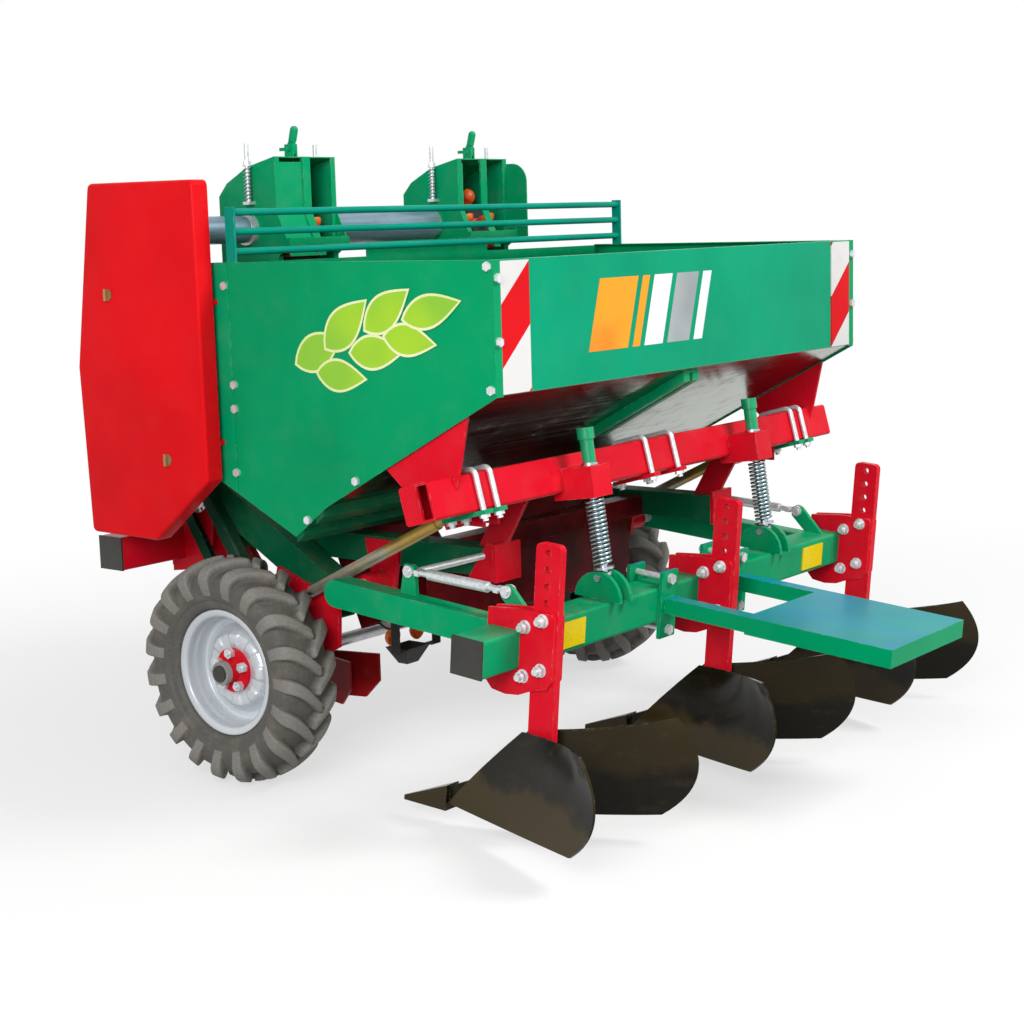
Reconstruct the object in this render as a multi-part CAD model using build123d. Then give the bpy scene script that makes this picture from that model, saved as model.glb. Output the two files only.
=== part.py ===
from build123d import *
import os
from math import asin, atan2, cos, degrees, hypot, pi, radians, sin, sqrt, tan

# Two-row mounted potato planter with a sprung ridger frame.
# Millimetres. +X is the right-hand side, +Y the way it travels, +Z up, the ground is z = 0.

# Layout
row_spacing = 750.0
wheel_track = 1540.0
overall_length = 2168.0
running_gap = 0.05
rest_gap = 0.3

# Wheels and axle
tyre_radius = 300.0
tyre_width = 160.0
tyre_crown_radius = 281.0
tyre_shoulder_radius = 266.0
tyre_tread_half = 68.0
tyre_wall = 12.0
lug_count = 18
lug_lead = 46.0
lug_crown_width = 28.0
lug_shoulder_width = 48.0
lug_sweep = 78.0
lug_depth = 52.0
rim_flange_radius = 164.0
rim_seat_radius = 150.0
rim_sheet = 6.0
rim_disc_offset = 15.0
rim_dish = 26.0
rim_half_width = 55.0
hub_radius = 52.0
hub_length = 96.0
hub_nose = 52.0
hub_nose_wall = 4.0
nut_count = 5
nut_circle_radius = 46.0
hub_flange = 10.0
nut_across = 24.0
nut_height = 14.0
axle_y = 485.0
axle_diameter = 35.0

# Front beam, rails and hitch
beam_size = 90.0
beam_wall = 6.0
beam_corner = 8.0
front_beam_half = 840.0
front_beam_y = 882.0
front_beam_z = 580.0
cap_thickness = 5.0
rail_x = 490.0
rail_size = 70.0
rail_wall = 5.0
rail_z = 600.0
rail_rear_y = -190.0
post_width = 80.0
cross_tube_y = 78.0
cross_tube_size = 56.0
shield_low_z = 385.0
shield_plate = 6.0
lower_link_half = 412.0
lower_link_z = 520.0
lower_link_reach = 103.0
ear_nose = 54.0
lower_pin_diameter = 28.0
lower_pin_shank = 30.0
lower_pin_head = 42.0
lower_pin_free = 72.0
ear_gap = 58.0
ear_thickness = 16.0
mast_height = 610.0
mast_gap = 60.0
mast_thickness = 14.0
top_link_diameter = 25.8

# Rear beam
rear_beam_half = 905.0
rear_beam_y = -270.0
rear_beam_z = 806.0
rear_beam_roll = -15.0
u_bolt_radius = 7.0

# Hopper
hopper_half = 823.0
hopper_sheet = 3.0
hopper_front_y = 454.0
hopper_rear_y = -440.0
hopper_top_z = 1347.0
hopper_rear_low_z = 1045.0
hopper_knee_y = 95.0
hopper_knee_z = 759.0
hopper_throat_y = 200.0
hopper_throat_z = 679.0
hopper_front_low_z = 799.0
hopper_flange = 25.0
floor_lift = 4.0
floor_thickness = 3.5
board_width = 103.0
board_height = 294.0
board_thickness = 3.0
apron_height = 36.0
fence_y = 381.0
fence_height = 135.0
fence_tube_radius = 9.0
fence_rails = (0.19, 0.55, 0.9)
bolt_head_across = 19.0
bolt_head_height = 8.0

# Cup elevators
tower_half = 115.0
tower_plate = 4.0
tower_rear_y = 555.0
tower_front_y = 772.0
tower_top_z = 1613.0
tower_shoulder_y = 660.0
tower_shoulder_z = 1589.0
tower_front_top_z = 1514.0
tower_flange = 18.0
tower_strip = 28.0
cover_bend_z = 1470.0
cover_low_z = 1352.0
cover_kick = 48.0
wide_plate_rear_y = 480.0
wide_plate_top_z = 1598.0
top_shaft_y = 663.0
top_shaft_z = 1425.0
lower_pulley_y = 250.0
lower_pulley_z = 420.0
pulley_radius = 48.0
pulley_width = 138.0
belt_thickness = 4.0
belt_width = 146.0
cup_count = 34
cup_radius = 25.0
cup_spread = 49.0
cup_wall = 2.5
duct_half = 79.0
duct_sheet = 2.5
duct_clear = 6.0
boot_drop = 46.0
top_shaft_diameter = 35.0
top_sleeve_diameter = 73.0
middle_sleeve_diameter = 104.0
lower_shaft_diameter = 25.0
tension_rod_radius = 6.0
tension_rod_top_z = 1650.0
tension_spring_radius = 9.5
tension_wire_radius = 1.6
tension_spring_turns = 9
tension_spring_length = 92.0

# Chain drive
guard_gap = 22.0
guard_depth = 50.0
guard_sheet = 2.0
guard_back_sheet = 4.0
arm_chain_x = -642.0
layshaft_y = 760.0
layshaft_z = 720.0
layshaft_diameter = 30.0
chain_pitch = 15.875
sprocket_teeth = 17
sprocket_thickness = 5.0
chain_plate = 2.0
chain_half_height = 6.5

# Wheel arms and depth spindles
arm_outer_x = 610.0
arm_width = 70.0
arm_depth = 90.0
arm_wall = 5.0
arm_slope = 29.5
arm_length = 560.0
arm_drop = -20.0
pivot_tube_radius = 29.0
pivot_boss_radius = 46.0
pivot_plate = 8.0
axle_bracket_plate = 12.0
axle_boss_radius = 44.0
spindle_x = 640.0
spindle_low_y = 404.0
spindle_low_z = 463.0
spindle_high_y = -196.0
spindle_high_z = 757.0
spindle_tube_radius = 16.0
spindle_thread_radius = 10.0
spindle_thread = 75.0
spindle_stem_radius = 13.0
trunnion_clear = 3.0
trunnion_length = 36.0
trunnion_back = 45.0

# Furrow openers
opener_half_width = 62.0
opener_front_y = 660.0
opener_rear_y = 410.0
opener_low_z = 130.0
opener_high_z = 256.0
opener_plate = 7.0
shank_thickness = 24.0

# Ridger frame, drawn in its own tilted frame at the toolbar's centre
toolbar_y = -400.0
toolbar_z = 469.0
toolbar_tilt = 5.1
toolbar_half = 900.0
ridger_pivot_reach = 582.0
ridger_pivot_diameter = 40.0
ridger_arm_x = 692.0
ridger_arm_width = 56.0
ridger_arm_height = 70.0
arm_end_wall = 8.0
leg_thickness = 20.0
leg_width = 70.0
leg_y = -108.0
leg_top = 257.0
leg_low = -230.0
leg_hole_first = 236.0
leg_hole_pitch = 38.6
leg_hole_count = 8
leg_hole_radius = 8.5
clamp_plate = 10.0
clamp_bolt_radius = 8.0
clamp_rear_holes = (4, 7)
clamp_front_bolt_y = -59.0
clamp_front_bolt_z = 58.0
wing_thickness = 6.0
wing_rear_x = 190.0
ridger_tip_y = 301.0
ridger_tip_z = -452.0
platform_half = 191.0
platform_front = -290.0
platform_top = 19.0
platform_lip = 45.0
platform_sheet = 4.0
platform_arm = 40.0
platform_flange = 10.0
reflector_inner_x = 519.0
reflector_width = 110.0
reflector_height = 64.0
reflector_thickness = 4.0

# Ridger springs
rod_x = 381.0
rod_pivot_height = 98.0
rod_lean = 8.0
rod_radius = 10.0
rod_length = 366.0
rod_lug_gap = 30.0
rod_lug_plate = 12.0
rod_pin_radius = 9.0
spring_start = 24.0
spring_length = 172.0
spring_mean_radius = 20.0
spring_wire_radius = 4.2
spring_turns = 16
spring_plate_low_z = 764.0
spring_plate_high_z = 826.0
spring_plate = 12.0
sleeve_radius = 17.0
sleeve_head_radius = 21.0
sleeve_head = 28.0

# Levers and latches
lever_pivot_y = 606.0
lever_pivot_z = 1634.0
lever_length = 62.0
lever_thickness = 8.0
lever_neck = 26.0
lever_grip_radius = 11.0
latch_points = ((767.0, 1270.0), (572.0, 856.0))
latch_radius = 15.0
latch_height = 12.0


# Worked-out places
axle_z = tyre_radius
axle_radius = axle_diameter / 2
beam_half = beam_size / 2
wheel_x = wheel_track / 2
row_x = row_spacing / 2
guard_inner_x = -hopper_half - guard_gap
guard_outer_x = guard_inner_x - guard_depth
chain_plane_x = guard_inner_x - guard_depth / 2
front_beam_rear_y = front_beam_y - beam_half
front_face_y = front_beam_y + beam_half
lower_link_y = front_face_y + lower_link_reach
front_end_y = lower_link_y + ear_nose
rear_end_y = front_end_y - overall_length
beam_top = front_beam_z + beam_half
beam_low = front_beam_z - beam_half
sprocket_radius = chain_pitch / (2 * sin(pi / sprocket_teeth))
chain_gap = sprocket_thickness + 2 * rest_gap
tilt_cos = cos(radians(toolbar_tilt))
tilt_sin = sin(radians(toolbar_tilt))
ridger_frame = Pos(0, toolbar_y, toolbar_z) * Rot(toolbar_tilt, 0, 0)
ridger_pivot_y = toolbar_y + ridger_pivot_reach * tilt_cos
ridger_pivot_z = toolbar_z + ridger_pivot_reach * tilt_sin
floor_slope = (hopper_rear_low_z - hopper_knee_z) / (hopper_knee_y - hopper_rear_y)
platform_rear = (toolbar_y - rear_end_y - platform_top * tilt_sin) / -tilt_cos

nodes = {}


def add(name, *solids):
    """Keep the solids of one node."""
    nodes.setdefault(name, []).extend(solids)


def block(x0, x1, y0, y1, z0, z1):
    """A box between two corners."""
    centre = Pos((x0 + x1) / 2, (y0 + y1) / 2, (z0 + z1) / 2)
    return centre * Box(abs(x1 - x0), abs(y1 - y0), abs(z1 - z0))


def plate_yz(points, x0, x1):
    """A flat plate that faces sideways, from an outline in Y and Z."""
    outline = Plane.YZ.offset(min(x0, x1)) * make_face(Polyline(*points, close=True))
    return extrude(outline, abs(x1 - x0), dir=(1, 0, 0))


def bar(start, end, radius):
    """A round bar from one point to another."""
    run = Vector(*end) - Vector(*start)
    upright = (Align.CENTER, Align.CENTER, Align.MIN)
    return Plane(origin=start, z_dir=run) * Cylinder(radius, run.length, align=upright)


def bar_x(x0, x1, y, z, radius):
    """A round bar along X."""
    return bar((min(x0, x1), y, z), (max(x0, x1), y, z), radius)


def hexagon_x(x0, x1, y, z, across):
    """A hexagon head along X."""
    return Plane(origin=(min(x0, x1), y, z), z_dir=(1, 0, 0)) * extrude(
        RegularPolygon(across / 2, 6, major_radius=False), abs(x1 - x0))


def square_tube_x(half, y, z, size, wall, roll=0.0):
    """A square tube along X, centred at y and z, rolled about its own axis."""
    hollow = size - 2 * wall
    section = RectangleRounded(size, size, beam_corner) - RectangleRounded(hollow, hollow, beam_corner - wall)
    solid = extrude(Plane.YZ * section, half, both=True)
    return Pos(0, y, z) * Rot(roll, 0, 0) * solid


def mirrored(solid):
    """The same solid on the other side of the machine."""
    return mirror(solid, about=Plane.YZ)


def pair(solid):
    """A solid and its mirror image."""
    return [solid, mirrored(solid)]


def helix_spring(mean_radius, wire_radius, turns, length):
    """One unbroken wire coiled up +Z, made of quarter turns, with a straight wire diameter at each end."""
    slope = length / turns / (2 * pi * mean_radius)
    dip = 2 * wire_radius * slope
    rise = (length - 2 * wire_radius - 2 * dip) / turns
    steps = 4 * turns

    def point(i):
        angle = pi / 2 * i
        return Vector(mean_radius * cos(angle), mean_radius * sin(angle), wire_radius + dip + rise * i / 4)

    def tangent(i):
        angle = pi / 2 * i
        return Vector(-mean_radius * sin(angle), mean_radius * cos(angle), rise / (2 * pi)).normalized()

    start = point(0)
    edges = [Line(start - tangent(0) * 2 * wire_radius, start)]
    for i in range(steps):
        p0, p1, t0, t1 = point(i), point(i + 1), tangent(i), tangent(i + 1)
        span = p1 - p0
        both = t0 + t1
        a = both.dot(both) - 4
        b = -2 * span.dot(both)
        c = span.dot(span)
        reach = (-b - sqrt(b * b - 4 * a * c)) / (2 * a)
        q0 = p0 + t0 * reach
        q1 = p1 - t1 * reach
        joint = (q0 + q1) * 0.5
        edges.append(TangentArc(p0, joint, tangent=t0))
        edges.append(TangentArc(joint, p1, tangent=(q1 - q0)))
    end = point(steps)
    edges.append(Line(end, end + tangent(steps) * 2 * wire_radius))
    path = Wire(edges)
    section = Plane(origin=path @ 0, z_dir=path % 0) * Circle(wire_radius)
    wire = sweep(section, path=path)
    print("spring self gap", round(rise - 2 * wire_radius, 2))
    return wire


def chain_loop(x, low, high):
    """A roller chain round two equal sprockets: two runs of link plates joined by pins on the straights."""
    span_y = high[0] - low[0]
    span_z = high[1] - low[1]
    distance = hypot(span_y, span_z)
    plane = Plane(origin=(x, low[0], low[1]), x_dir=(0, span_y, span_z), z_dir=(1, 0, 0))
    outer = Pos(distance / 2, 0) * SlotCenterToCenter(distance, 2 * (sprocket_radius + chain_half_height))
    inner = Pos(distance / 2, 0) * SlotCenterToCenter(distance, 2 * (sprocket_radius - chain_half_height))
    ring = extrude(outer - inner, chain_plate)
    half_gap = chain_gap / 2
    loop = Pos(0, 0, half_gap) * ring + Pos(0, 0, -half_gap - chain_plate) * ring
    pins = int((distance - 5 * chain_pitch) / chain_pitch)
    roller = Cylinder(chain_half_height - 2, chain_gap + chain_plate)
    rollers = [
        Pos(distance / 2 + chain_pitch * (i - (pins - 1) / 2), side * sprocket_radius, 0) * roller
        for i in range(pins) for side in (-1, 1)
    ]
    return plane * (loop + rollers)


def sprocket(x, y, z, bore_radius):
    """A toothed wheel that fits between the chain's link plates."""
    tip = sprocket_radius + 0.35 * chain_pitch
    gap_radius = 0.32 * chain_pitch
    wheel = Circle(tip) - Circle(bore_radius)
    wheel -= PolarLocations(sprocket_radius, sprocket_teeth) * Circle(gap_radius)
    return Plane(origin=(x - sprocket_thickness / 2, y, z), z_dir=(1, 0, 0)) * extrude(wheel,
            sprocket_thickness)


# Wheels
def tyre_section(inset):
    """Half a tyre's outline in radius and width, from bead to bead, drawn inwards by an inset."""
    half = tyre_width / 2 - inset
    bead = rim_half_width - rim_sheet - rest_gap - inset
    crown = tyre_crown_radius - inset
    edge = rim_flange_radius + 1
    tread = tyre_tread_half - inset
    shoulder = tyre_shoulder_radius - inset
    seat = rim_seat_radius + rest_gap
    bulge = (edge + shoulder) / 2
    left = ThreePointArc((-bead, edge), (-half, bulge), (-tread, shoulder))
    top = ThreePointArc((-tread, shoulder), (0, crown), (tread, shoulder))
    right = ThreePointArc((tread, shoulder), (half, bulge), (bead, edge))
    base = Polyline((bead, edge), (bead, seat), (-bead, seat), (-bead, edge))
    return make_face([left, top, right, base])


def tyre():
    """A farm tyre with two rows of swept lugs, its wheel axis along X at the origin."""
    section = tyre_section(0) - tyre_section(tyre_wall)
    body = revolve(section, Axis.X)
    half = tyre_width / 2
    shoulder = tyre_shoulder_radius
    rise = tyre_radius - tyre_crown_radius
    shoulder_top = shoulder + rise + 6
    right_limit = [(10, tyre_radius), (0.5 * half, tyre_radius - 3), (tyre_tread_half, shoulder_top),
                   (half, shoulder + 5),
                   (half + 2, shoulder - rise), (half + 2, shoulder - 2 * rise)]
    limit = [(-x, r) for x, r in right_limit[::-1]] + right_limit
    envelope = revolve(make_face(Polyline(*limit, close=True)), Axis.X)
    # Outline of one left-hand lug: across the tyre in X, along the tread in Y
    top = lug_lead + lug_crown_width / 2
    low = lug_lead - lug_crown_width / 2
    far = lug_lead - lug_sweep
    outline = [(8, top), (-0.34 * half, top - 0.32 * lug_sweep), (-0.74 * half, top - 0.66 * lug_sweep),
               (-1.2 * half, far + lug_shoulder_width / 2), (-1.2 * half, far - lug_shoulder_width / 2),
               (-0.94 * half, low - 0.88 * lug_sweep), (-0.5 * half, low - 0.52 * lug_sweep), (8, low)]
    bars = []
    for side in (-1, 1):
        points = [(-side * x, y) for x, y in outline]
        face = Pos(0, 0, -tyre_radius - 5) * make_face(Polyline(*points, close=True))
        one = extrude(face, lug_depth, dir=(0, 0, 1)) & envelope
        turn = -degrees(lug_lead / tyre_radius) + (0 if side < 0 else 180 / lug_count)
        bars += [Rot(360 / lug_count * i + turn, 0, 0) * one for i in range(lug_count)]
    return body + bars


def rim():
    """A dished disc wheel, outside towards -X."""
    flange = rim_flange_radius
    seat = rim_seat_radius
    half = rim_half_width
    t = rim_sheet
    well = [(-half, flange), (-half, seat - t), (half, seat - t), (half, flange), (half - t, flange),
            (half - t, seat), (-half + t, seat), (-half + t, flange)]
    barrel = revolve(make_face(Polyline(*well, close=True)), Axis.X)
    bolt_r = nut_circle_radius + 44
    face = -rim_disc_offset
    deep = face + rim_dish
    disc_pts = [(face, axle_radius + 14), (face, bolt_r), (deep, bolt_r + 24), (deep, seat - t / 2),
                (deep + t, seat - t / 2), (deep + t, bolt_r + 24 - t / 2), (face + t, bolt_r - t / 2),
                (face + t, axle_radius + 14)]
    disc = revolve(make_face(Polyline(*disc_pts, close=True)), Axis.X)
    wheel = barrel + disc
    for i in range(nut_count):
        hole = Rot(360 / nut_count * i, 0, 0) * Pos(-rim_disc_offset, 0, nut_circle_radius)
        wheel -= hole * Rot(0, 90, 0) * Cylinder(7 + rest_gap, 40)
    return wheel


def hub():
    """A flanged hub behind the disc, with its nose through the disc's centre."""
    flange_x = -rim_disc_offset + rim_sheet
    nose = bar_x(-rim_disc_offset - hub_nose, flange_x + 2, 0, 0, axle_radius + 13)
    flange = bar_x(-rim_disc_offset - hub_flange, -rim_disc_offset, 0, 0, nut_circle_radius + 12)
    body = bar_x(flange_x, flange_x + hub_length, 0, 0, hub_radius)
    cap = bar_x(-rim_disc_offset - hub_nose - 6, -rim_disc_offset - hub_nose, 0, 0, axle_radius + 4)
    bore = bar_x(-rim_disc_offset - hub_nose + hub_nose_wall, flange_x + hub_length, 0, 0, axle_radius)
    whole = nose + flange + body + cap - bore
    for i in range(nut_count):
        hole = Rot(360 / nut_count * i, 0, 0) * Pos(-rim_disc_offset, 0, nut_circle_radius)
        whole -= hole * Rot(0, 90, 0) * Cylinder(7 + rest_gap, 60)
    return whole


def wheel_nuts():
    """Studs with their nuts on the outside of the disc."""
    flange_x = -rim_disc_offset + rim_sheet
    out = []
    for i in range(nut_count):
        nut_x = -rim_disc_offset - hub_flange
        nut = hexagon_x(nut_x - nut_height, nut_x, 0, nut_circle_radius, nut_across)
        stud = bar_x(nut_x - nut_height - 6, flange_x + 10, 0, nut_circle_radius, 7)
        out.append(Rot(360 / nut_count * i, 0, 0) * (nut + stud))
    return out


left_wheel = Pos(-wheel_x, axle_y, axle_z)
for name, solids in (("tyres", [tyre()]), ("rims", [rim()]), ("hubs", [hub()]), ("wheel_nuts", wheel_nuts())):
    for solid in solids:
        add(name, *pair(left_wheel * solid))
shaft_end = wheel_x + rim_disc_offset + hub_nose - hub_nose_wall
cross_shaft = bar_x(-shaft_end, shaft_end, axle_y, axle_z, axle_radius - running_gap)
add("cross_shaft", cross_shaft + sprocket(arm_chain_x, axle_y, axle_z, axle_radius - 2))

# Front beam and hitch
add("front_beam", square_tube_x(front_beam_half, front_beam_y, front_beam_z, beam_size, beam_wall))
cap = block(-front_beam_half - cap_thickness, -front_beam_half, front_beam_y - beam_half,
            front_beam_y + beam_half,
            front_beam_z - beam_half, front_beam_z + beam_half)
add("front_beam_caps", *pair(cap))

ear = plate_yz([(front_face_y, front_beam_z + beam_half), (front_face_y, lower_link_z - ear_nose),
                (front_end_y, lower_link_z - ear_nose), (front_end_y, lower_link_z + ear_nose),
                (front_face_y + 0.4 * lower_link_reach, front_beam_z + beam_half)], 0, ear_thickness)
pin_radius = lower_pin_diameter / 2
shank_radius = lower_pin_shank / 2
ear -= bar_x(-1, ear_thickness + 1, lower_link_y, lower_link_z, shank_radius + rest_gap)
for side in (-1, 1):
    for face in (-1, 1):
        inner = side * lower_link_half + face * ear_gap / 2
        add("hitch_mast", Pos(min(inner, inner + face * ear_thickness), 0, 0) * ear)
ear_outer = lower_link_half + ear_gap / 2 + ear_thickness
ear_inner = lower_link_half - ear_gap / 2 - ear_thickness
pin = bar_x(ear_outer - 1, ear_outer + lower_pin_free, lower_link_y, lower_link_z, pin_radius)
pin += bar_x(ear_inner - 12, ear_outer, lower_link_y, lower_link_z, shank_radius)
pin += bar_x(ear_inner - 12, ear_inner - rest_gap, lower_link_y, lower_link_z, lower_pin_head / 2)
add("steel_pins", *pair(pin))

mast_top_z = lower_link_z + mast_height
mast_top_y = front_face_y + 60
upright = plate_yz([(front_face_y, front_beam_z - beam_half), (front_face_y + 70, front_beam_z - beam_half),
                    (mast_top_y + 40, mast_top_z - 60), (mast_top_y + 40, mast_top_z + 40),
                    (mast_top_y - 40, mast_top_z + 40), (front_face_y, front_beam_z + 2 * beam_size)],
                   mast_gap / 2, mast_gap / 2 + mast_thickness)
upright -= bar_x(0, mast_gap, mast_top_y, mast_top_z, top_link_diameter / 2)
add("hitch_mast", *pair(upright))
strut_foot = lower_link_half - ear_gap
strut_z = front_beam_z + beam_half
strut = bar((strut_foot, front_beam_y, strut_z + 1),
            (mast_gap / 2 + mast_thickness - 1, mast_top_y, mast_top_z - 90), 22)
strut -= block(0, strut_foot + 60, front_beam_y - 90, front_beam_y + 90, strut_z - 80, strut_z)
strut -= block(0, mast_gap / 2 + mast_thickness, front_beam_y, front_end_y, strut_z, mast_top_z + 60)
add("hitch_mast", *pair(strut))

# Frame rails with their rear posts
rail = block(rail_x - rail_size / 2, rail_x + rail_size / 2, rail_rear_y, front_beam_rear_y,
             rail_z - rail_size / 2, rail_z + rail_size / 2)
rail_hollow = rail_size - 2 * rail_wall
rail -= block(rail_x - rail_hollow / 2, rail_x + rail_hollow / 2, rail_rear_y, front_beam_rear_y,
              rail_z - rail_hollow / 2, rail_z + rail_hollow / 2)
add("frame_rails", *pair(rail))
# Cross tube between the rails, with a shield that keeps soil off the seed boots
cross_half = rail_x - rail_size / 2
tube_section = Rectangle(cross_tube_size, cross_tube_size)
tube_hollow = Rectangle(cross_tube_size - 2 * rail_wall, cross_tube_size - 2 * rail_wall)
cross_z = rail_z - (rail_size - cross_tube_size) / 2
cross_tube = Pos(0, cross_tube_y, cross_z) * extrude(Plane.YZ * (tube_section - tube_hollow), cross_half,
                                                     both=True)
tube_low = cross_z - cross_tube_size / 2
shield_y = cross_tube_y + cross_tube_size / 2
cross_tube += block(-cross_half, cross_half, shield_y - shield_plate, shield_y, shield_low_z, tube_low + 1)
add("hopper_supports", cross_tube)
rear_beam_place = Pos(0, rear_beam_y, rear_beam_z) * Rot(rear_beam_roll, 0, 0)
rear_section = rear_beam_place * Box(2 * rear_beam_half, beam_size, beam_size)
post_top = rear_beam_z
post = plate_yz([(rail_rear_y, rail_z + rail_size / 2), (rail_rear_y + post_width, rail_z + rail_size / 2),
                 (rear_beam_y + post_width - 20, post_top), (rear_beam_y - 20, post_top)],
                rail_x - 6, rail_x + 6)
post -= rear_section
add("hopper_supports", *pair(post.solids().sort_by(Axis.Z)[0]))


def floor_line(y):
    """Height of the hopper's rear underside."""
    return hopper_rear_low_z - (y - hopper_rear_y) * floor_slope


rail_end = block(rail_x - 45, rail_x + 55, rail_rear_y - 10, rail_rear_y, rail_z - 45, rail_z + 50)
rail_end += plate_yz([(rail_rear_y, rail_z + 50), (rail_rear_y, rail_z - 45), (rail_rear_y + 92, rail_z - 45),
                      (rail_rear_y + 25, rail_z + 50)], rail_x + rail_size / 2, rail_x + rail_size / 2 + 8)
add("hopper_supports", *pair(rail_end))
stop_start = (rail_x + 20, rail_rear_y + 22, rail_z + 22)
stop_end = (rail_x + 158, rail_rear_y + 150, rail_z - 12)
stop_rod = bar(stop_start, stop_end, 9)
stop_rod -= block(rail_x - 60, rail_x + rail_size / 2 + 8, rail_rear_y, rail_rear_y + 200, rail_z - 60,
                  rail_z + 90)
gusset_low = rear_beam_z - 20
gusset_top = [(y, floor_line(y)) for y in (rear_beam_y + 170, rear_beam_y - 80)]
gusset_foot = [(rear_beam_y - 32, gusset_low), (rear_beam_y + 55, gusset_low),
               (rear_beam_y + 118, rear_beam_z + 14)]
side_gusset = plate_yz(gusset_top + gusset_foot, hopper_half - 16, hopper_half - 8)
side_gusset = (side_gusset - rear_section).solids().sort_by(Axis.Z)[-1]
add("hopper_supports", *pair(side_gusset))
# Rear beam with its spring brackets
rear_beam = square_tube_x(rear_beam_half, rear_beam_y, rear_beam_z, beam_size, beam_wall, rear_beam_roll)
rod_pivot_y = toolbar_y - rod_pivot_height * tilt_sin
rod_pivot_z = toolbar_z + rod_pivot_height * tilt_cos
lean_sin = sin(radians(rod_lean))
lean_cos = cos(radians(rod_lean))
rod_top = (rod_x, rod_pivot_y + rod_length * lean_sin, rod_pivot_z + rod_length * lean_cos)


def rod_at(z):
    """Where the spring rod's centre line is at a height."""
    return rod_pivot_y + (z - rod_pivot_z) * lean_sin / lean_cos


hollow_beam = rear_beam_place * Box(2 * rear_beam_half, beam_size - beam_wall, beam_size - beam_wall)
spring_end = spring_start + spring_length + rest_gap
high_start = (spring_plate_high_z - rod_pivot_z) / lean_cos
for side in (-1, 1):
    rod_place = Pos(side * rod_x, rod_pivot_y, rod_pivot_z) * Rot(-rod_lean, 0, 0)
    bracket_top = high_start + spring_plate
    bracket = block(-38, 38, -30, 92, spring_end, bracket_top)
    bracket -= block(-30, 30, -22, 93, spring_end + spring_plate, high_start)
    bracket -= bar((0, 0, 0), (0, 0, rod_length), rod_radius + 4)
    bracket = (rod_place * bracket - hollow_beam).solids().sort_by(SortBy.VOLUME)[-1]
    rear_beam += bracket
inside = beam_half - beam_wall
for side in (-1, 1):
    edge = side * rear_beam_half
    plate = block(edge, edge - side * 8, -8, inside + 1, -inside - 1, inside + 1)
    rear_beam += rear_beam_place * plate
add("rear_beam", rear_beam)

# U-bolts round the rear beam, and the stop rods on the rails
add("frame_fasteners", *pair(stop_rod))


def u_bolt(x):
    """A square U-bolt that goes round the rear beam, with its nuts underneath."""
    r = u_bolt_radius
    gap = beam_half + rest_gap + r
    legs = beam_half + 26
    bend = beam_corner + rest_gap + r
    path = FilletPolyline((0, -gap, -legs), (0, -gap, gap), (0, gap, gap), (0, gap, -legs), radius=bend)
    start = Plane(origin=(0, -gap, -legs), z_dir=(0, 0, 1)) * Circle(r)
    bolt = sweep(start, path=path)
    strap = Pos(0, 0, -beam_half - rest_gap - 5) * Box(30, 2 * gap + 30, 10)
    nuts = []
    for y in (-gap, gap):
        nut = Pos(0, y, -beam_half - rest_gap - 18) * extrude(RegularPolygon(11, 6, major_radius=False), 8)
        nuts.append(nut - Pos(0, y, -beam_half - 5) * Cylinder(r, 60))
        strap -= Pos(0, y, -beam_half - 5) * Cylinder(r, 60)
    place = Pos(x, rear_beam_y, rear_beam_z) * Rot(rear_beam_roll, 0, 0)
    add("frame_fasteners", place * bolt, *[place * nut for nut in nuts])
    add("floor_braces" if abs(x) > 300 else "hopper_supports", place * strap)


u_bolt_places = (-745, -692, -55, 68, 692, 745)
for x in u_bolt_places:
    u_bolt(x)

# Spindle trunnions in front of the rear beam
spindle_run = hypot(spindle_high_y - spindle_low_y, spindle_high_z - spindle_low_z)
spindle_angle = atan2(spindle_high_z - spindle_low_z, spindle_high_y - spindle_low_y)
spindle_dir = Vector(0, cos(spindle_angle), sin(spindle_angle))


def on_spindle(t):
    """A point on the spindle's centre line at a distance from its lower pin."""
    return (spindle_x, spindle_low_y + t * cos(spindle_angle), spindle_low_z + t * sin(spindle_angle))


trunnion_at = spindle_run - trunnion_back
trunnion_centre = on_spindle(trunnion_at)
trunnion = Plane(origin=trunnion_centre, x_dir=(1, 0, 0), z_dir=spindle_dir) * Box(60, 60, trunnion_length)
for side in (-1, 1):
    x0 = spindle_x + side * 26 - 4
    trunnion += block(x0, x0 + 8, rear_beam_y, trunnion_centre[1] - 8, trunnion_centre[2] - 18, rear_beam_z)
trunnion -= rear_section
trunnion -= bar(on_spindle(trunnion_at - 60), on_spindle(trunnion_at + 60),
                spindle_stem_radius + trunnion_clear)
trunnion = trunnion.solids().sort_by(SortBy.VOLUME)[-1]
add("frame_brackets", *pair(trunnion))

# Hopper
rear_outer = hopper_rear_y - hopper_sheet
side_outline = [(hopper_front_y, hopper_top_z), (rear_outer, hopper_top_z), (rear_outer, hopper_rear_low_z),
                (hopper_knee_y, hopper_knee_z), (hopper_throat_y, hopper_throat_z),
                (hopper_front_y, hopper_front_low_z)]
inner_x = hopper_half - hopper_sheet
side_panel = plate_yz(side_outline, -hopper_half, -inner_x)
side_panel += block(-hopper_half, -hopper_half + hopper_flange, rear_outer, hopper_rear_y,
                    hopper_rear_low_z, hopper_top_z)
side_panel += block(-hopper_half, -hopper_half + hopper_flange, rear_outer, hopper_front_y,
                    hopper_top_z - hopper_sheet, hopper_top_z)
add("hopper_left_side", side_panel)
add("hopper_right_side", mirrored(side_panel))
rear_inner = hopper_rear_y + hopper_sheet
rear_panel = block(-inner_x, inner_x, hopper_rear_y, rear_inner,
                   hopper_rear_low_z + floor_lift, hopper_top_z - hopper_sheet)
lip_x = hopper_half - hopper_flange - 1
rear_panel += block(-lip_x, lip_x, hopper_rear_y, rear_inner + 22, hopper_top_z - hopper_sheet, hopper_top_z)
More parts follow.
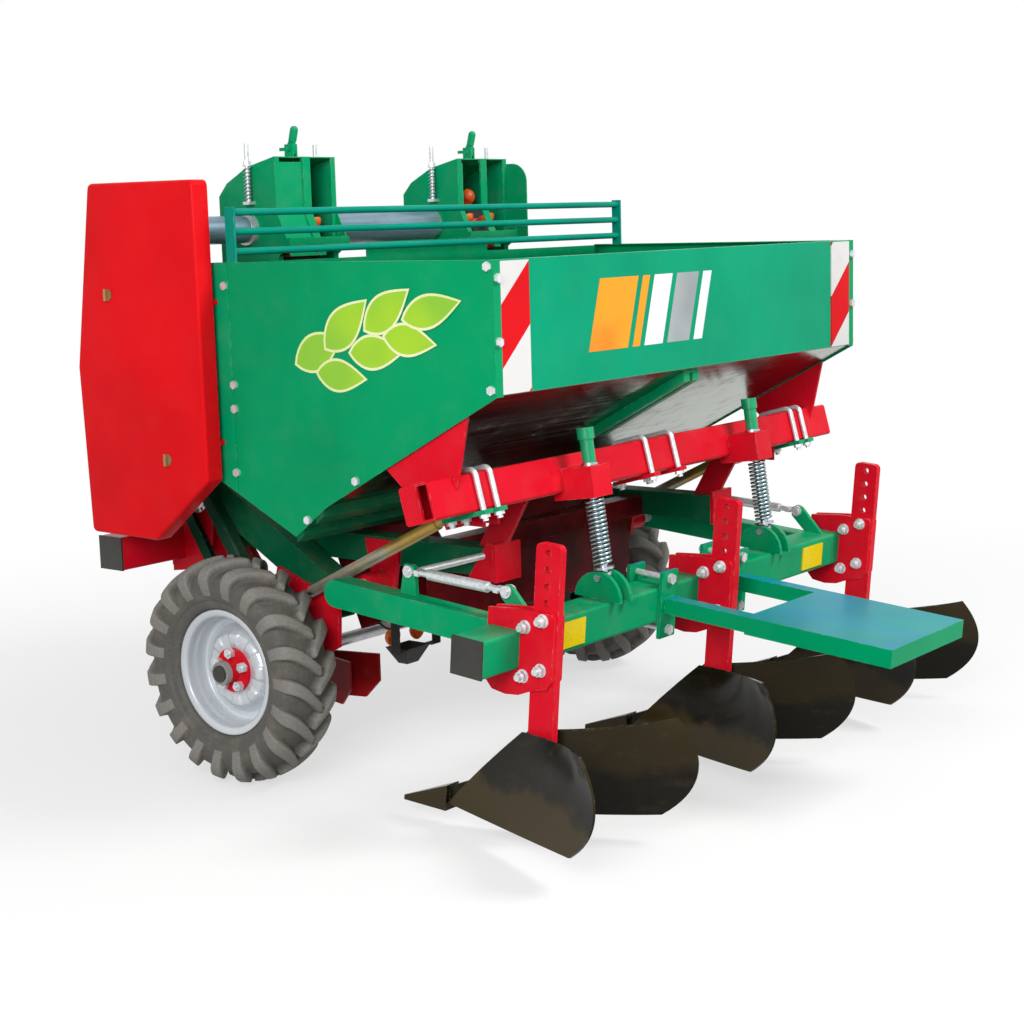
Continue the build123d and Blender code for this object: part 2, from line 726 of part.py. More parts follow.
rear_panel -= block(-inner_x, -lip_x, hopper_rear_y, rear_inner + 22, hopper_top_z - hopper_sheet,
                    hopper_top_z)
add("hopper_rear_panel", rear_panel)

belt_y = top_shaft_y - lower_pulley_y
belt_z = top_shaft_z - lower_pulley_z
belt_run = hypot(belt_y, belt_z)
cup_reach = pulley_radius + rest_gap + belt_thickness + 2 * cup_radius + rest_gap


def belt_plane(x):
    """Belt frame: X up the belt, Y towards the rear run, Z across."""
    return Plane(origin=(x, lower_pulley_y, lower_pulley_z), x_dir=(0, belt_y, belt_z), z_dir=(1, 0, 0))


def belt_space(x, half_width, reach, below, above):
    """The leaning box that the belt and its cups pass through."""
    length = belt_run + below + above
    return belt_plane(x) * Pos(length / 2 - below, 0, 0) * Box(length, 2 * reach, 2 * half_width)


duct_reach = cup_reach + duct_clear
slots = [belt_space(x, duct_half, duct_reach, 200, 200) for x in (-row_x, row_x)]
front_wall = block(-inner_x, inner_x, hopper_front_y - hopper_sheet, hopper_front_y,
                   hopper_front_low_z + floor_lift + floor_thickness, hopper_top_z - hopper_sheet)
front_wall = front_wall - slots
apron_half = row_x - tower_half - 1
front_wall += block(-apron_half, apron_half, hopper_front_y - hopper_sheet, hopper_front_y,
                    hopper_top_z - hopper_sheet - 1, hopper_top_z + apron_height)
add("hopper_front_wall", front_wall)


def floor_sheet(points):
    """A folded sheet over an underside line, its ends upright."""
    low = [(y, z + floor_lift) for y, z in points]
    high = [(y, z + floor_thickness) for y, z in low]
    return plate_yz(low + high[::-1], -inner_x, inner_x)


rear_floor = floor_sheet([(rear_inner, floor_line(rear_inner)), (hopper_knee_y, hopper_knee_z)])
trough_line = [(hopper_knee_y, hopper_knee_z), (hopper_throat_y, hopper_throat_z),
               (hopper_front_y, hopper_front_low_z)]
trough = floor_sheet(trough_line)
trough_slope = (hopper_knee_z - hopper_throat_z) / (hopper_throat_y - hopper_knee_y)
for lip_y in (hopper_throat_y, hopper_throat_y - 68):
    under = [(y, hopper_throat_z + floor_lift + (hopper_throat_y - y) * trough_slope)
             for y in (lip_y, lip_y - 24)]
    trough += plate_yz(under + [(y, z - 18) for y, z in under[::-1]], -inner_x, inner_x)
add("hopper_rear_floor", rear_floor)
add("hopper_trough", trough - slots)
channel_top = rear_beam_y - 150
channel_low = rear_beam_y + 150


def along_floor(y0, y1, above, below, half):
    """A bar that follows the rear floor's underside."""
    upper = [(y, floor_line(y) + above) for y in (y0, y1)]
    lower = [(y, floor_line(y) - below) for y in (y1, y0)]
    return plate_yz(upper + lower, -half, half)


channel = along_floor(channel_top, channel_low, floor_lift, 22, 34)
channel -= along_floor(channel_top - 1, channel_low + 10, 0, 30, 8)
add("floor_braces", channel)

side_bolts = [(hopper_front_y - 46, hopper_top_z - 57), (hopper_front_y - 64, 1046),
              (hopper_front_y - 62, 986),
              (hopper_front_y - 58, 826), (155, 725), (-10, floor_line(-10) + 16),
              (rear_outer + 14, hopper_top_z - 14),
              (rear_outer + 12, hopper_rear_low_z + 16)]
for y, z in side_bolts:
    head = hexagon_x(-hopper_half - bolt_head_height, -hopper_half, y, z, bolt_head_across)
    add("frame_fasteners", *pair(head))
for z in (hopper_top_z - 40, hopper_top_z - 180):
    head = Plane(origin=(-hopper_half + hopper_flange / 2, rear_outer, z), z_dir=(0, -1, 0)) * extrude(
        RegularPolygon(bolt_head_across / 2, 6, major_radius=False), bolt_head_height)
    add("frame_fasteners", *pair(head))

board_x = hopper_half - hopper_flange
board_low = hopper_top_z - board_height - hopper_sheet
board = block(-board_x, -board_x + board_width, hopper_rear_y - board_thickness, hopper_rear_y,
              board_low, board_low + board_height)
add("striped_boards", *pair(board))

fence_end = block(-hopper_half, -hopper_half + 6, fence_y - 15, fence_y + 16, hopper_top_z,
                  hopper_top_z + fence_height)
fence = fence_end + mirrored(fence_end)
for share in fence_rails:
    fence += bar_x(-hopper_half + 2, hopper_half - 2, fence_y, hopper_top_z + share * fence_height,
                   fence_tube_radius)
add("hopper_fence", fence)

# Elevator towers
shaft_bore = top_shaft_diameter / 2 + 4
plate_outline = [(tower_rear_y, tower_top_z), (tower_shoulder_y, tower_shoulder_z), (740, 1548),
                 (tower_front_y, tower_front_top_z), (tower_front_y, 1180), (hopper_front_y, 990),
                 (hopper_front_y, hopper_top_z - 20), (tower_rear_y, hopper_top_z - 20)]


def rear_sheet(y0, y1, top_z, x0, x1):
    """A sheet down the tower's rear that kicks back at its foot, behind the cups' path."""
    upper = [(y0, top_z), (y1, top_z), (y1, cover_bend_z)]
    lower = [(y1 - cover_kick, cover_low_z), (y0 - cover_kick, cover_low_z), (y0, cover_bend_z)]
    return plate_yz(upper + lower, x0, x1)


def tower(x, cover):
    """Two side plates, a folded roof and front, rear flanges, a centre strip and a rear cover on its left."""
    half = tower_half
    t = tower_plate
    left = plate_yz(plate_outline, x - half, x - half + t)
    right = plate_yz(plate_outline, x + half - t, x + half)
    roof_line = plate_outline[:4]
    roof = plate_yz(roof_line + [(y, z - 3) for y, z in roof_line[::-1]], x - half, x + half)
    front = block(x - half, x + half, tower_front_y - 3, tower_front_y, 1180, tower_front_top_z)
    box = left + right + roof + front
    for edge in (x - half, x + half - tower_flange):
        box += block(edge, edge + tower_flange, tower_rear_y, tower_rear_y + 3, hopper_top_z - 20,
                     tower_top_z)
    box += rear_sheet(tower_rear_y - 5, tower_rear_y, tower_top_z, x - tower_strip / 2, x + tower_strip / 2)
    tie_y = tower_rear_y - cover_kick * 0.75
    box += block(x - half, x + half, tie_y - 7, tie_y, cover_low_z + 28, cover_low_z + 48)
    heel = [(tower_rear_y, cover_bend_z), (tower_rear_y, cover_low_z), (tie_y - 7, cover_low_z + 28)]
    for edge in (x - half, x + half - t):
        box += plate_yz(heel, edge, edge + t)
    strip = tower_strip / 2
    box += block(x - strip, x + strip, tower_rear_y - 5, tower_rear_y + 4, tower_top_z - 12, tower_top_z)
    box += rear_sheet(tower_rear_y, tower_rear_y + 3, tower_top_z - 14, x - half, x - half + 2 * half * cover)
    for ear_x in (x - lever_thickness / 2 - 4.5, x + lever_thickness / 2 + 0.5):
        box += block(ear_x, ear_x + 4, lever_pivot_y - 16, lever_pivot_y + 16, tower_top_z - 16,
                     lever_pivot_z + 14)
    box -= bar_x(x - half - 1, x + half + 1, top_shaft_y, top_shaft_z, shaft_bore)
    box -= bar_x(x - half, x + half, lever_pivot_y, lever_pivot_z, 6)
    return box


add("left_tower", tower(-row_x, 0.58))
right_tower = tower(row_x, 0.1)
wide_line = [(tower_rear_y + 40, 1380), (tower_rear_y + 40, wide_plate_top_z),
             (wide_plate_rear_y, wide_plate_top_z),
             (wide_plate_rear_y, 1365), (tower_rear_y, 1365)]
wide = plate_yz(wide_line, row_x + tower_half, row_x + tower_half + tower_plate)
wide = fillet(wide.edges().filter_by(Axis.X).group_by(Axis.Y)[0].sort_by(Axis.Z)[-1:], 55)
add("right_tower", right_tower + wide)

# Seed ducts in front of and under the hopper
keep_front_y = hopper_front_y + rest_gap
keep_out_line = [(keep_front_y, hopper_top_z + 300), (hopper_rear_y, hopper_top_z + 300),
                 (hopper_rear_y, hopper_rear_low_z),
                 (hopper_knee_y, hopper_knee_z - rest_gap), (hopper_throat_y, hopper_throat_z - rest_gap),
                 (keep_front_y, hopper_front_low_z - rest_gap)]
hopper_keep_out = plate_yz(keep_out_line, -hopper_half, hopper_half)
for x in (-row_x, row_x):
    shell = belt_space(x, duct_half, duct_reach, 20, -230)
    shell -= belt_space(x, duct_half - duct_sheet, duct_reach - duct_sheet, 60, 0)
    shell -= hopper_keep_out
    shell -= plate_yz(plate_outline, x - tower_half - 1, x + tower_half + 1)
    shell -= block(x - tower_half, x + tower_half, hopper_front_y, tower_front_y + 200, 1180 - 1, 1700)
    shaft_hole = lower_shaft_diameter / 2 + running_gap
    shell -= bar_x(x - duct_half - 1, x + duct_half + 1, lower_pulley_y, lower_pulley_z, shaft_hole)
    piece = shell.solids().sort_by(SortBy.VOLUME)[-1]
    add("seed_ducts", piece)

# Seed boots under the ducts
boot_top = lower_pulley_z - cup_reach - 6
boot_mouth = (96, 76)
boot_outlet = (44, 32)
boot_sheet = 4


def boot_section(x, z, size, inset=0):
    """One level section of a seed boot."""
    width, length = size
    level = Plane(origin=(x, lower_pulley_y, z), z_dir=(0, 0, -1))
    return level * Rectangle(width - 2 * inset, length - 2 * inset)


for x in (-row_x, row_x):
    boot_end = boot_top - boot_drop
    boot = loft([boot_section(x, boot_top, boot_mouth), boot_section(x, boot_end, boot_outlet)])
    hollow = [boot_section(x, boot_top + 1, boot_mouth, boot_sheet)]
    hollow.append(boot_section(x, boot_end - 1, boot_outlet, boot_sheet))
    boot -= loft(hollow)
    strap_y0 = lower_pulley_y - 45
    strap_y1 = lower_pulley_y - 17
    for face in (-1, 1):
        edge = x + face * duct_half
        outer = edge + face * 4.3
        boot += block(edge + face * rest_gap, outer, strap_y0, strap_y1, boot_top - 3, lower_pulley_z)
        boot += block(x + face * (boot_mouth[0] / 2 - 2), outer, strap_y0, strap_y1, boot_top - 3, boot_top)
    add("seed_boots", boot)

# Belts and cups
belt_inner = pulley_radius + rest_gap
belt_outer = belt_inner + belt_thickness
belt_ring = SlotCenterToCenter(belt_run, 2 * belt_outer) - SlotCenterToCenter(belt_run, 2 * belt_inner)
belt_solid = Pos(belt_run / 2, 0, -belt_width / 2) * extrude(belt_ring, belt_width)


def double_cup():
    """Two seed cups side by side on one base plate: X is the way they travel, Y out from the belt."""
    base = Pos(0, 1.5, 0) * Box(20, 3, belt_width - 8)
    bowls = base
    for z in (-cup_spread, cup_spread):
        bowl = Sphere(cup_radius) - Sphere(cup_radius - cup_wall)
        bowl -= Pos(cup_radius, 0, 0) * Box(2 * cup_radius, 3 * cup_radius, 3 * cup_radius)
        bowls += Pos(8, cup_radius, z) * bowl
    return bowls


def loop_place(s):
    """A place on the belt's outer face at a distance along its run, up the rear first."""
    turn = pi * belt_outer
    if s < belt_run:
        return Pos(s, belt_outer, 0)
    s -= belt_run
    if s < turn:
        angle = degrees(s / belt_outer)
        return Pos(belt_run, 0, 0) * Rot(0, 0, -angle) * Pos(0, belt_outer, 0)
    s -= turn
    if s < belt_run:
        return Pos(belt_run - s, -belt_outer, 0) * Rot(0, 0, 180)
    angle = degrees((s - belt_run) / belt_outer)
    return Rot(0, 0, 180 - angle) * Pos(0, belt_outer, 0)


cup = double_cup()
loop_length = 2 * belt_run + 2 * pi * belt_outer
for x in (-row_x, row_x):
    add("elevator_belts", belt_plane(x) * belt_solid)
    for i in range(cup_count):
        add("seed_cups", belt_plane(x) * loop_place(loop_length * (i + 0.5) / cup_count) * cup)

# Top shaft, its pulleys, bearings and sprocket
shaft_radius = top_shaft_diameter / 2
shaft_left = chain_plane_x - 14
shaft_right = row_x + tower_half + 30
top_shaft = bar_x(shaft_left, shaft_right, top_shaft_y, top_shaft_z, shaft_radius)
sleeve_radius_top = top_sleeve_diameter / 2
sleeve_gap = 24
sleeve_side = row_x + tower_half + sleeve_gap
sleeve_middle = row_x - tower_half - sleeve_gap
top_shaft += bar_x(guard_inner_x + sleeve_gap, -sleeve_side, top_shaft_y, top_shaft_z, sleeve_radius_top)
top_shaft += bar_x(-sleeve_middle, sleeve_middle, top_shaft_y, top_shaft_z, middle_sleeve_diameter / 2)
for x in (-row_x, row_x):
    drum = bar_x(x - pulley_width / 2, x + pulley_width / 2, top_shaft_y, top_shaft_z, pulley_radius)
    top_shaft += drum
    for face in (-1, 1):
        edge = x + face * tower_half
        ring = bar_x(edge, edge + face * 14, top_shaft_y, top_shaft_z, 42)
        ring += bar_x(edge, edge + face * 20, top_shaft_y, top_shaft_z, 29)
        ring -= bar_x(edge - 30, edge + 30, top_shaft_y, top_shaft_z, shaft_radius + running_gap)
        add("shaft_bearings", ring)
add("top_shaft", top_shaft + sprocket(chain_plane_x, top_shaft_y, top_shaft_z, shaft_radius - 2))

# Lower pulleys on one axis
for x in (-row_x, row_x):
    drum = bar_x(x - pulley_width / 2, x + pulley_width / 2, lower_pulley_y, lower_pulley_z, pulley_radius)
    drum += bar_x(x - duct_half - 12, x + duct_half + 12, lower_pulley_y, lower_pulley_z,
                  lower_shaft_diameter / 2)
    add("lower_pulleys", drum)

# Belt tension rods and springs on the tower sides
tension_y = top_shaft_y - 20
spring_foot_z = tension_rod_top_z - 60 - tension_spring_length
for x in (-row_x, row_x):
    for face in (-1, 1):
        edge = x + face * tower_half
        rod_line = edge + face * (tension_spring_radius + tension_wire_radius + 3)
        foot_x0 = min(edge, edge + face * 24)
        foot = block(foot_x0, foot_x0 + 24, tension_y - 12, tension_y + 12, spring_foot_z - 8, spring_foot_z)
        rod = bar((rod_line, tension_y, spring_foot_z), (rod_line, tension_y, tension_rod_top_z),
                  tension_rod_radius)
        nut_z = spring_foot_z + tension_spring_length + rest_gap
        rod += Pos(rod_line, tension_y, nut_z) * Cylinder(
            tension_spring_radius + 2, 5, align=(Align.CENTER, Align.CENTER, Align.MIN))
        rod += Pos(rod_line, tension_y, nut_z + 5) * extrude(RegularPolygon(9.5, 6, major_radius=False), 9)
        add("tension_rods", foot + rod)
        coil = helix_spring(tension_spring_radius, tension_wire_radius, tension_spring_turns,
                            tension_spring_length)
        add("tension_springs", Pos(rod_line, tension_y, spring_foot_z + rest_gap / 2) * coil)

# Guard round the top chain
guard_line = [(826, 1552), (430, 1550), (430, 808), (637, 643), (889, 646), (906, 1082)]
cover = plate_yz(guard_line, guard_outer_x, guard_inner_x)
inside_line = [(826 - 2, 1550), (432, 1548), (432, 809), (638, 640), (887, 640), (904, 1082)]
cover -= plate_yz(inside_line, guard_outer_x + guard_sheet, guard_inner_x)
back = plate_yz([(824 - 4, 1546), (436, 1544), (436, 812), (640, 650), (884, 650), (900, 1082)],
                guard_inner_x - guard_back_sheet, guard_inner_x)
for y, z in ((top_shaft_y, top_shaft_z), (layshaft_y, layshaft_z)):
    back -= bar_x(guard_outer_x, guard_inner_x + 10, y, z, shaft_radius + 6)
for z in (900, 1250):
    back += bar_x(guard_inner_x - 1, -hopper_half, hopper_front_y - 12, z, 8)
for y, z in latch_points:
    cover -= bar_x(guard_outer_x - 1, guard_outer_x + guard_sheet + 1, y, z, 6 + rest_gap)
    back += bar_x(guard_outer_x + 12, guard_inner_x - 1, y, z, 10)
    back -= bar_x(guard_outer_x, guard_outer_x + 30, y, z, 6 + rest_gap)
add("guard_cover", cover)
add("guard_back_plate", back)
for name, (y, z) in zip(("upper_guard_latch", "lower_guard_latch"), latch_points):
    knob = bar_x(guard_outer_x - 4, guard_outer_x - rest_gap, y, z, latch_radius)
    knob += block(guard_outer_x - latch_height, guard_outer_x - 4, y - 4, y + 4, z - latch_radius,
                  z + latch_radius)
    knob += bar_x(guard_outer_x - 1, guard_outer_x + 26, y, z, 6)
    add(name, knob)

# Layshaft and chains
lay_radius = layshaft_diameter / 2
layshaft = bar_x(shaft_left, 6 - arm_outer_x + arm_width, layshaft_y, layshaft_z, lay_radius)
for x in (chain_plane_x, arm_chain_x):
    layshaft += sprocket(x, layshaft_y, layshaft_z, lay_radius - 2)
add("layshaft", layshaft)
add("upper_chain", chain_loop(chain_plane_x, (layshaft_y, layshaft_z), (top_shaft_y, top_shaft_z)))
add("arm_chain", chain_loop(arm_chain_x, (axle_y, axle_z), (layshaft_y, layshaft_z)))

# Wheel arms, pivots and axle brackets
arm_inner_x = arm_outer_x - arm_width
arm_place = Pos(0, layshaft_y, layshaft_z) * Rot(arm_slope, 0, 0)
arm_mid_x = (arm_outer_x + arm_inner_x) / 2
arm_box = block(arm_inner_x, arm_outer_x, -arm_length, 40, -arm_drop - arm_depth / 2,
                -arm_drop + arm_depth / 2)
arm_hollow = block(arm_inner_x + arm_wall, arm_outer_x - arm_wall, -arm_length - 1, 40 - arm_wall,
                   -arm_drop - arm_depth / 2 + arm_wall, -arm_drop + arm_depth / 2 - arm_wall)
arm = arm_place * (arm_box - arm_hollow)
arm += bar_x(arm_inner_x, arm_outer_x, layshaft_y, layshaft_z, pivot_boss_radius)
arm -= bar_x(arm_inner_x - 1, arm_outer_x + 1, layshaft_y, layshaft_z, pivot_tube_radius + running_gap)
add("wheel_arms", *pair(arm))

pivot_left = arm_inner_x - 4 - pivot_plate
pivot_right = arm_outer_x + 4 + pivot_plate
pivot_bracket = bar_x(pivot_left, pivot_right, layshaft_y, layshaft_z, pivot_tube_radius)
for plate_x in (pivot_left, pivot_right - pivot_plate):
    pivot_bracket += plate_yz([(front_beam_y + beam_half, beam_top), (layshaft_y + 30, layshaft_z + 44),
                               (layshaft_y - 40, layshaft_z + 40), (layshaft_y - 44, layshaft_z - 30),
                               (front_beam_rear_y - 92, beam_low - 20), (front_beam_y + 8, beam_low - 40),
                               (front_beam_y + 8, beam_low), (front_beam_rear_y, beam_low),
                               (front_beam_rear_y, beam_top)], plate_x, plate_x + pivot_plate)
pivot_bracket -= bar_x(pivot_left - 1, pivot_right + 1, layshaft_y, layshaft_z, lay_radius + running_gap)
add("frame_brackets", *pair(pivot_bracket))

bracket_x = arm_outer_x
axle_bracket = plate_yz([(276, 476), (262, 454), (268, 352), (450, 258), (530, 268), (538, 330), (480, 545)],
                        bracket_x, bracket_x + axle_bracket_plate)
axle_bracket += bar_x(arm_inner_x + 20, bracket_x + axle_bracket_plate, axle_y, axle_z, axle_boss_radius)
axle_bracket -= bar_x(arm_inner_x, bracket_x + 40, axle_y, axle_z, axle_radius + running_gap)
axle_bracket += bar_x(bracket_x, spindle_x + 12, spindle_low_y, spindle_low_z, 10)
add("axle_brackets", *pair(axle_bracket))

eye = bar_x(spindle_x - 12, spindle_x + 12, spindle_low_y, spindle_low_z, 22)
spindle = eye + bar(on_spindle(10), on_spindle(spindle_thread), spindle_thread_radius)
spindle += bar(on_spindle(spindle_thread), on_spindle(trunnion_at - 60), spindle_tube_radius)
spindle += bar(on_spindle(trunnion_at - 61), on_spindle(trunnion_at + 42), spindle_stem_radius)
spindle -= bar_x(spindle_x - 13, spindle_x + 13, spindle_low_y, spindle_low_z, 10 + running_gap)
add("depth_spindles", *pair(spindle))

# Furrow openers
for x in (-row_x, row_x):
    half = opener_half_width
    wedge = [(x, opener_front_y), (x + half, opener_rear_y), (x + half - opener_plate, opener_rear_y),
             (x, opener_front_y - 40), (x - half + opener_plate, opener_rear_y), (x - half, opener_rear_y)]
    shoe = Pos(0, 0, opener_low_z) * extrude(make_face(Polyline(*wedge, close=True)),
                                             opener_high_z - opener_low_z)
    heel_y = opener_rear_y - 1
    heel_z = opener_low_z - 1
    shoe -= plate_yz([(heel_y, heel_z), (heel_y + 46, heel_z), (heel_y, heel_z + 51)], x - half - 1,
                     x + half + 1)
    shank = plate_yz([(front_beam_rear_y + 4, beam_low), (front_beam_y + 20, beam_low),
                      (opener_front_y + 6, opener_low_z + 70),
                      (opener_front_y - 60, opener_low_z + 40), (opener_front_y - 60, opener_high_z),
                      (opener_front_y - 10, opener_high_z + 20)],
                     x - shank_thickness / 2, x + shank_thickness / 2)
    add("furrow_openers", shoe + shank)

# Ridger pivots
pivot_radius = ridger_pivot_diameter / 2
carrier = bar_x(rail_x + rail_size / 2, spindle_x - spindle_tube_radius - 12, ridger_pivot_y, ridger_pivot_z,
                32)
hanger_line = [(ridger_pivot_y - 60, rail_z + 30), (ridger_pivot_y + 60, rail_z + 30),
               (ridger_pivot_y + 34, ridger_pivot_z - 34), (ridger_pivot_y - 34, ridger_pivot_z - 34)]
carrier += plate_yz(hanger_line, rail_x + rail_size / 2, rail_x + rail_size / 2 + 12)
carrier -= bar_x(rail_x, ridger_arm_x, ridger_pivot_y, ridger_pivot_z, pivot_radius)
pin_end = ridger_arm_x + ridger_arm_width / 2 - arm_end_wall - rest_gap
pivot_pin = bar_x(rail_x + rail_size / 2, pin_end, ridger_pivot_y, ridger_pivot_z, pivot_radius - running_gap)
add("steel_pins", *pair(pivot_pin))
add("frame_brackets", *pair(carrier))

# Ridger frame: toolbar, arms and lugs
toolbar = square_tube_x(toolbar_half, 0, 0, beam_size, beam_wall)
lug_radius = rod_pivot_height + rod_pin_radius + 6 - beam_half
for side in (-1, 1):
    for face in (-1, 1):
        x = side * rod_x + face * (rod_lug_gap / 2 + rod_lug_plate / 2)
        moon = [(lug_radius * cos(pi * i / 12), beam_half + lug_radius * sin(pi * i / 12)) for i in range(13)]
        lug = plate_yz(moon, x - rod_lug_plate / 2, x + rod_lug_plate / 2)
        lug -= bar_x(x - 20, x + 20, 0, rod_pivot_height, rod_pin_radius + running_gap)
        toolbar += lug
    link_x = side * 677
    link = plate_yz([(-20, beam_half), (beam_half - beam_corner, beam_half), (82, 84), (84, 100), (70, 116),
                     (52, 112)],
                    link_x - 6, link_x + 6)
    link -= bar_x(link_x - 10, link_x + 10, 66, 100, 9 + running_gap)
    toolbar += link
add("toolbar", ridger_frame * toolbar)
end_cap = block(-toolbar_half - cap_thickness, -toolbar_half, -beam_half, beam_half, -beam_half, beam_half)
add("toolbar_caps", *[ridger_frame * solid for solid in pair(end_cap)])
arm_x0 = ridger_arm_x - ridger_arm_width / 2
arm_x1 = ridger_arm_x + ridger_arm_width / 2
ridger_arm = block(arm_x0, arm_x1, beam_half, ridger_pivot_reach, -ridger_arm_height / 2,
                   ridger_arm_height / 2)
arm_inside = ridger_arm_height / 2 - 5
ridger_arm -= block(arm_x0 + 5, arm_x1 - 5, beam_half, ridger_pivot_reach - 50, -arm_inside, arm_inside)
ridger_arm += bar_x(arm_x0, arm_x1, ridger_pivot_reach, 0, ridger_arm_height / 2)
ridger_arm -= bar_x(arm_x0 - 1, arm_x1 - arm_end_wall, ridger_pivot_reach, 0, pivot_radius)
arm_lug = plate_yz([(345, ridger_arm_height / 2), (395, ridger_arm_height / 2), (386, 108), (354, 108)], 671,
                   683)
arm_lug -= bar_x(660, 690, 370, 92, 9 + running_gap)
ridger_arm += arm_lug
add("ridger_arms", *[ridger_frame * solid for solid in pair(ridger_arm)])


def turnbuckle(x, start, end):
    """A turnbuckle between two lugs: clevis pins, rods and a hexagon body."""
    a = Vector(x, *start)
    b = Vector(x, *end)
    run = (b - a).normalized()
    body = bar(tuple(a + run * 60), tuple(b - run * 60), 13)
    body += bar(tuple(a), tuple(b), 8)
    for p in (a, b):
        for face in (-1, 1):
            inner = x + face * 6.4
            body += bar_x(inner, inner + face * 6, p.Y, p.Z, 15)
        body += bar_x(x - 16, x + 16, p.Y, p.Z, 9)
        cut = bar_x(x - 6.3, x + 6.3, p.Y, p.Z, 23) - bar_x(x - 6.3, x + 6.3, p.Y, p.Z, 9)
        body -= cut
        fork = p + (run * 29 if p == a else run * -29)
        body += Pos(fork.X, fork.Y, fork.Z) * Box(25, 14, 14)
        for face in (-1, 1):
            inner = x + face * 9.4
            body += bar((inner, p.Y, p.Z), (inner, fork.Y, fork.Z), 3)
    return body


add("turnbuckles", *[ridger_frame * solid for solid in pair(turnbuckle(677, (66, 100), (370, 92)))])

# Legs, clamps and their bolts
leg_holes = [leg_hole_first - leg_hole_pitch * i for i in range(leg_hole_count)]
leg = block(-leg_thickness / 2, leg_thickness / 2, leg_y - leg_width / 2, leg_y + leg_width / 2, leg_low,
            leg_top)
leg = fillet(leg.edges().filter_by(Axis.X).group_by(Axis.Z)[-1], 14)
for z in leg_holes:
    leg -= bar_x(-leg_thickness, leg_thickness, leg_y, z, leg_hole_radius)
clear = beam_half + rest_gap
clamp_outline = [(50, 84), (-50, 98), (-132, 100), (-140, 92), (-140, -56), (-128, -76), (-86, -88),
                 (-48, -106),
                 (-10, -112), (30, -108), (50, -88), (50, -40), (clear, -40), (clear, -clear),
                 (-clear, -clear),
                 (-clear, clear), (clear, clear), (clear, 40), (50, 40)]
for ridger_x in (-row_spacing, 0, row_spacing):
    place = ridger_frame * Pos(ridger_x, 0, 0)
    add("ridger_legs", place * leg)
    for face in (-1, 1):
        x0 = face * leg_thickness / 2
        cheek = plate_yz(clamp_outline, x0, x0 + face * clamp_plate)
        bolts = [(leg_y, leg_holes[i]) for i in clamp_rear_holes]
        bolts += [(clamp_front_bolt_y, z) for z in (clamp_front_bolt_z, -clamp_front_bolt_z)]
        for y, z in bolts:
            cheek -= bar_x(x0 - 1 * face, x0 + face * (clamp_plate + 1), y, z, clamp_bolt_radius)
        add("leg_clamps", place * cheek)
    outer = leg_thickness / 2 + clamp_plate
    for y, z in bolts:
        shank = bar_x(-outer - 24, outer + 10, y, z, clamp_bolt_radius - running_gap)
        shank += hexagon_x(outer, outer + 10, y, z, 24)
        shank += hexagon_x(-outer - 13, -outer, y, z, 24)
        shank += bar_x(-outer - 1.5, -outer, y, z, 16)
        add("toolbar_bolts", place * shank)

# Ridger bodies: curved wings on a central frog with a point
frog_side = leg_thickness / 2 + rest_gap


def wing_face():
    """The right wing's inner face: from the shin at the frog back to a rounded rear edge."""
    shin = [(frog_side, 150, -424), (frog_side, 75, -330), (frog_side, -62, -194)]
    middle = [(0.30 * wing_rear_x, -70, -418), (0.52 * wing_rear_x, -150, -300),
              (0.24 * wing_rear_x, -215, -176)]
    rear = [(0.93 * wing_rear_x, -330, -374), (1.16 * wing_rear_x, -470, -262),
            (0.98 * wing_rear_x, -352, -136)]
    return Face.make_bezier_surface([shin, middle, rear])


face = wing_face()
outward = 1 if face.normal_at().X > 0 else -1
wing = Solid.thicken(face, outward * wing_thickness)
frog = plate_yz([(leg_y - leg_width / 2, leg_low), (leg_y + leg_width / 2, leg_low), (96, -354), (152, -382),
                 (152, -428),
                 (30, -428), (leg_y - leg_width / 2, leg_low - 70)], -leg_thickness / 2, leg_thickness / 2)
socket = Plane(origin=(0, 152, -410), z_dir=(0, 1, 0)) * Rectangle(64, 46)
tip = Plane(origin=(0, ridger_tip_y, ridger_tip_z), z_dir=(0, 1, 0)) * Rectangle(12, 6)
point = loft([socket, tip])
for ridger_x in (-row_spacing, 0, row_spacing):
    place = ridger_frame * Pos(ridger_x, 0, 0)
    add("ridger_wings", place * wing, place * mirrored(wing))
    add("ridger_points", place * (frog + point))

# Step platform on the toolbar
sheet = platform_sheet
deck = block(-platform_half, platform_half, platform_rear, platform_front, platform_top - platform_lip,
             platform_top)
deck -= block(-platform_half + sheet, platform_half - sheet, platform_rear + sheet, platform_front - sheet,
              platform_top - platform_lip - 1, platform_top - sheet)
flange_y = -beam_half - platform_flange
for side in (-1, 1):
    x1 = side * platform_half
    x0 = x1 - side * platform_arm
    deck += block(x0, x1, platform_front - 2, flange_y, platform_top - platform_arm, platform_top)
    flange_x = (x0 + x1) / 2
    deck += block(flange_x - 34, flange_x + 34, flange_y, -beam_half, -86, 86)
    front_flange = block(flange_x - 34, flange_x + 34, beam_half, beam_half + platform_flange, -86, 86)
    for z in (-66, 66):
        hole = bar((flange_x, -200, z), (flange_x, 200, z), clamp_bolt_radius)
        deck -= hole
        front_flange -= hole
        bolt = bar((flange_x, flange_y - 8, z), (flange_x, -flange_y + 20, z),
                   clamp_bolt_radius - running_gap)
        for y0, y1 in ((flange_y - 10, flange_y), (-flange_y, -flange_y + 13)):
            bolt += Plane(origin=(flange_x, y0, z), z_dir=(0, 1, 0)) * extrude(
                RegularPolygon(12, 6, major_radius=False), y1 - y0)
        add("toolbar_bolts", ridger_frame * bolt)
    add("step_platform", ridger_frame * front_flange)
add("step_platform", ridger_frame * deck)
reflector = block(reflector_inner_x, reflector_inner_x + reflector_width, -beam_half - reflector_thickness,
                  -beam_half,
                  -reflector_height / 2, reflector_height / 2)
add("reflectors", *[ridger_frame * solid for solid in pair(reflector)])

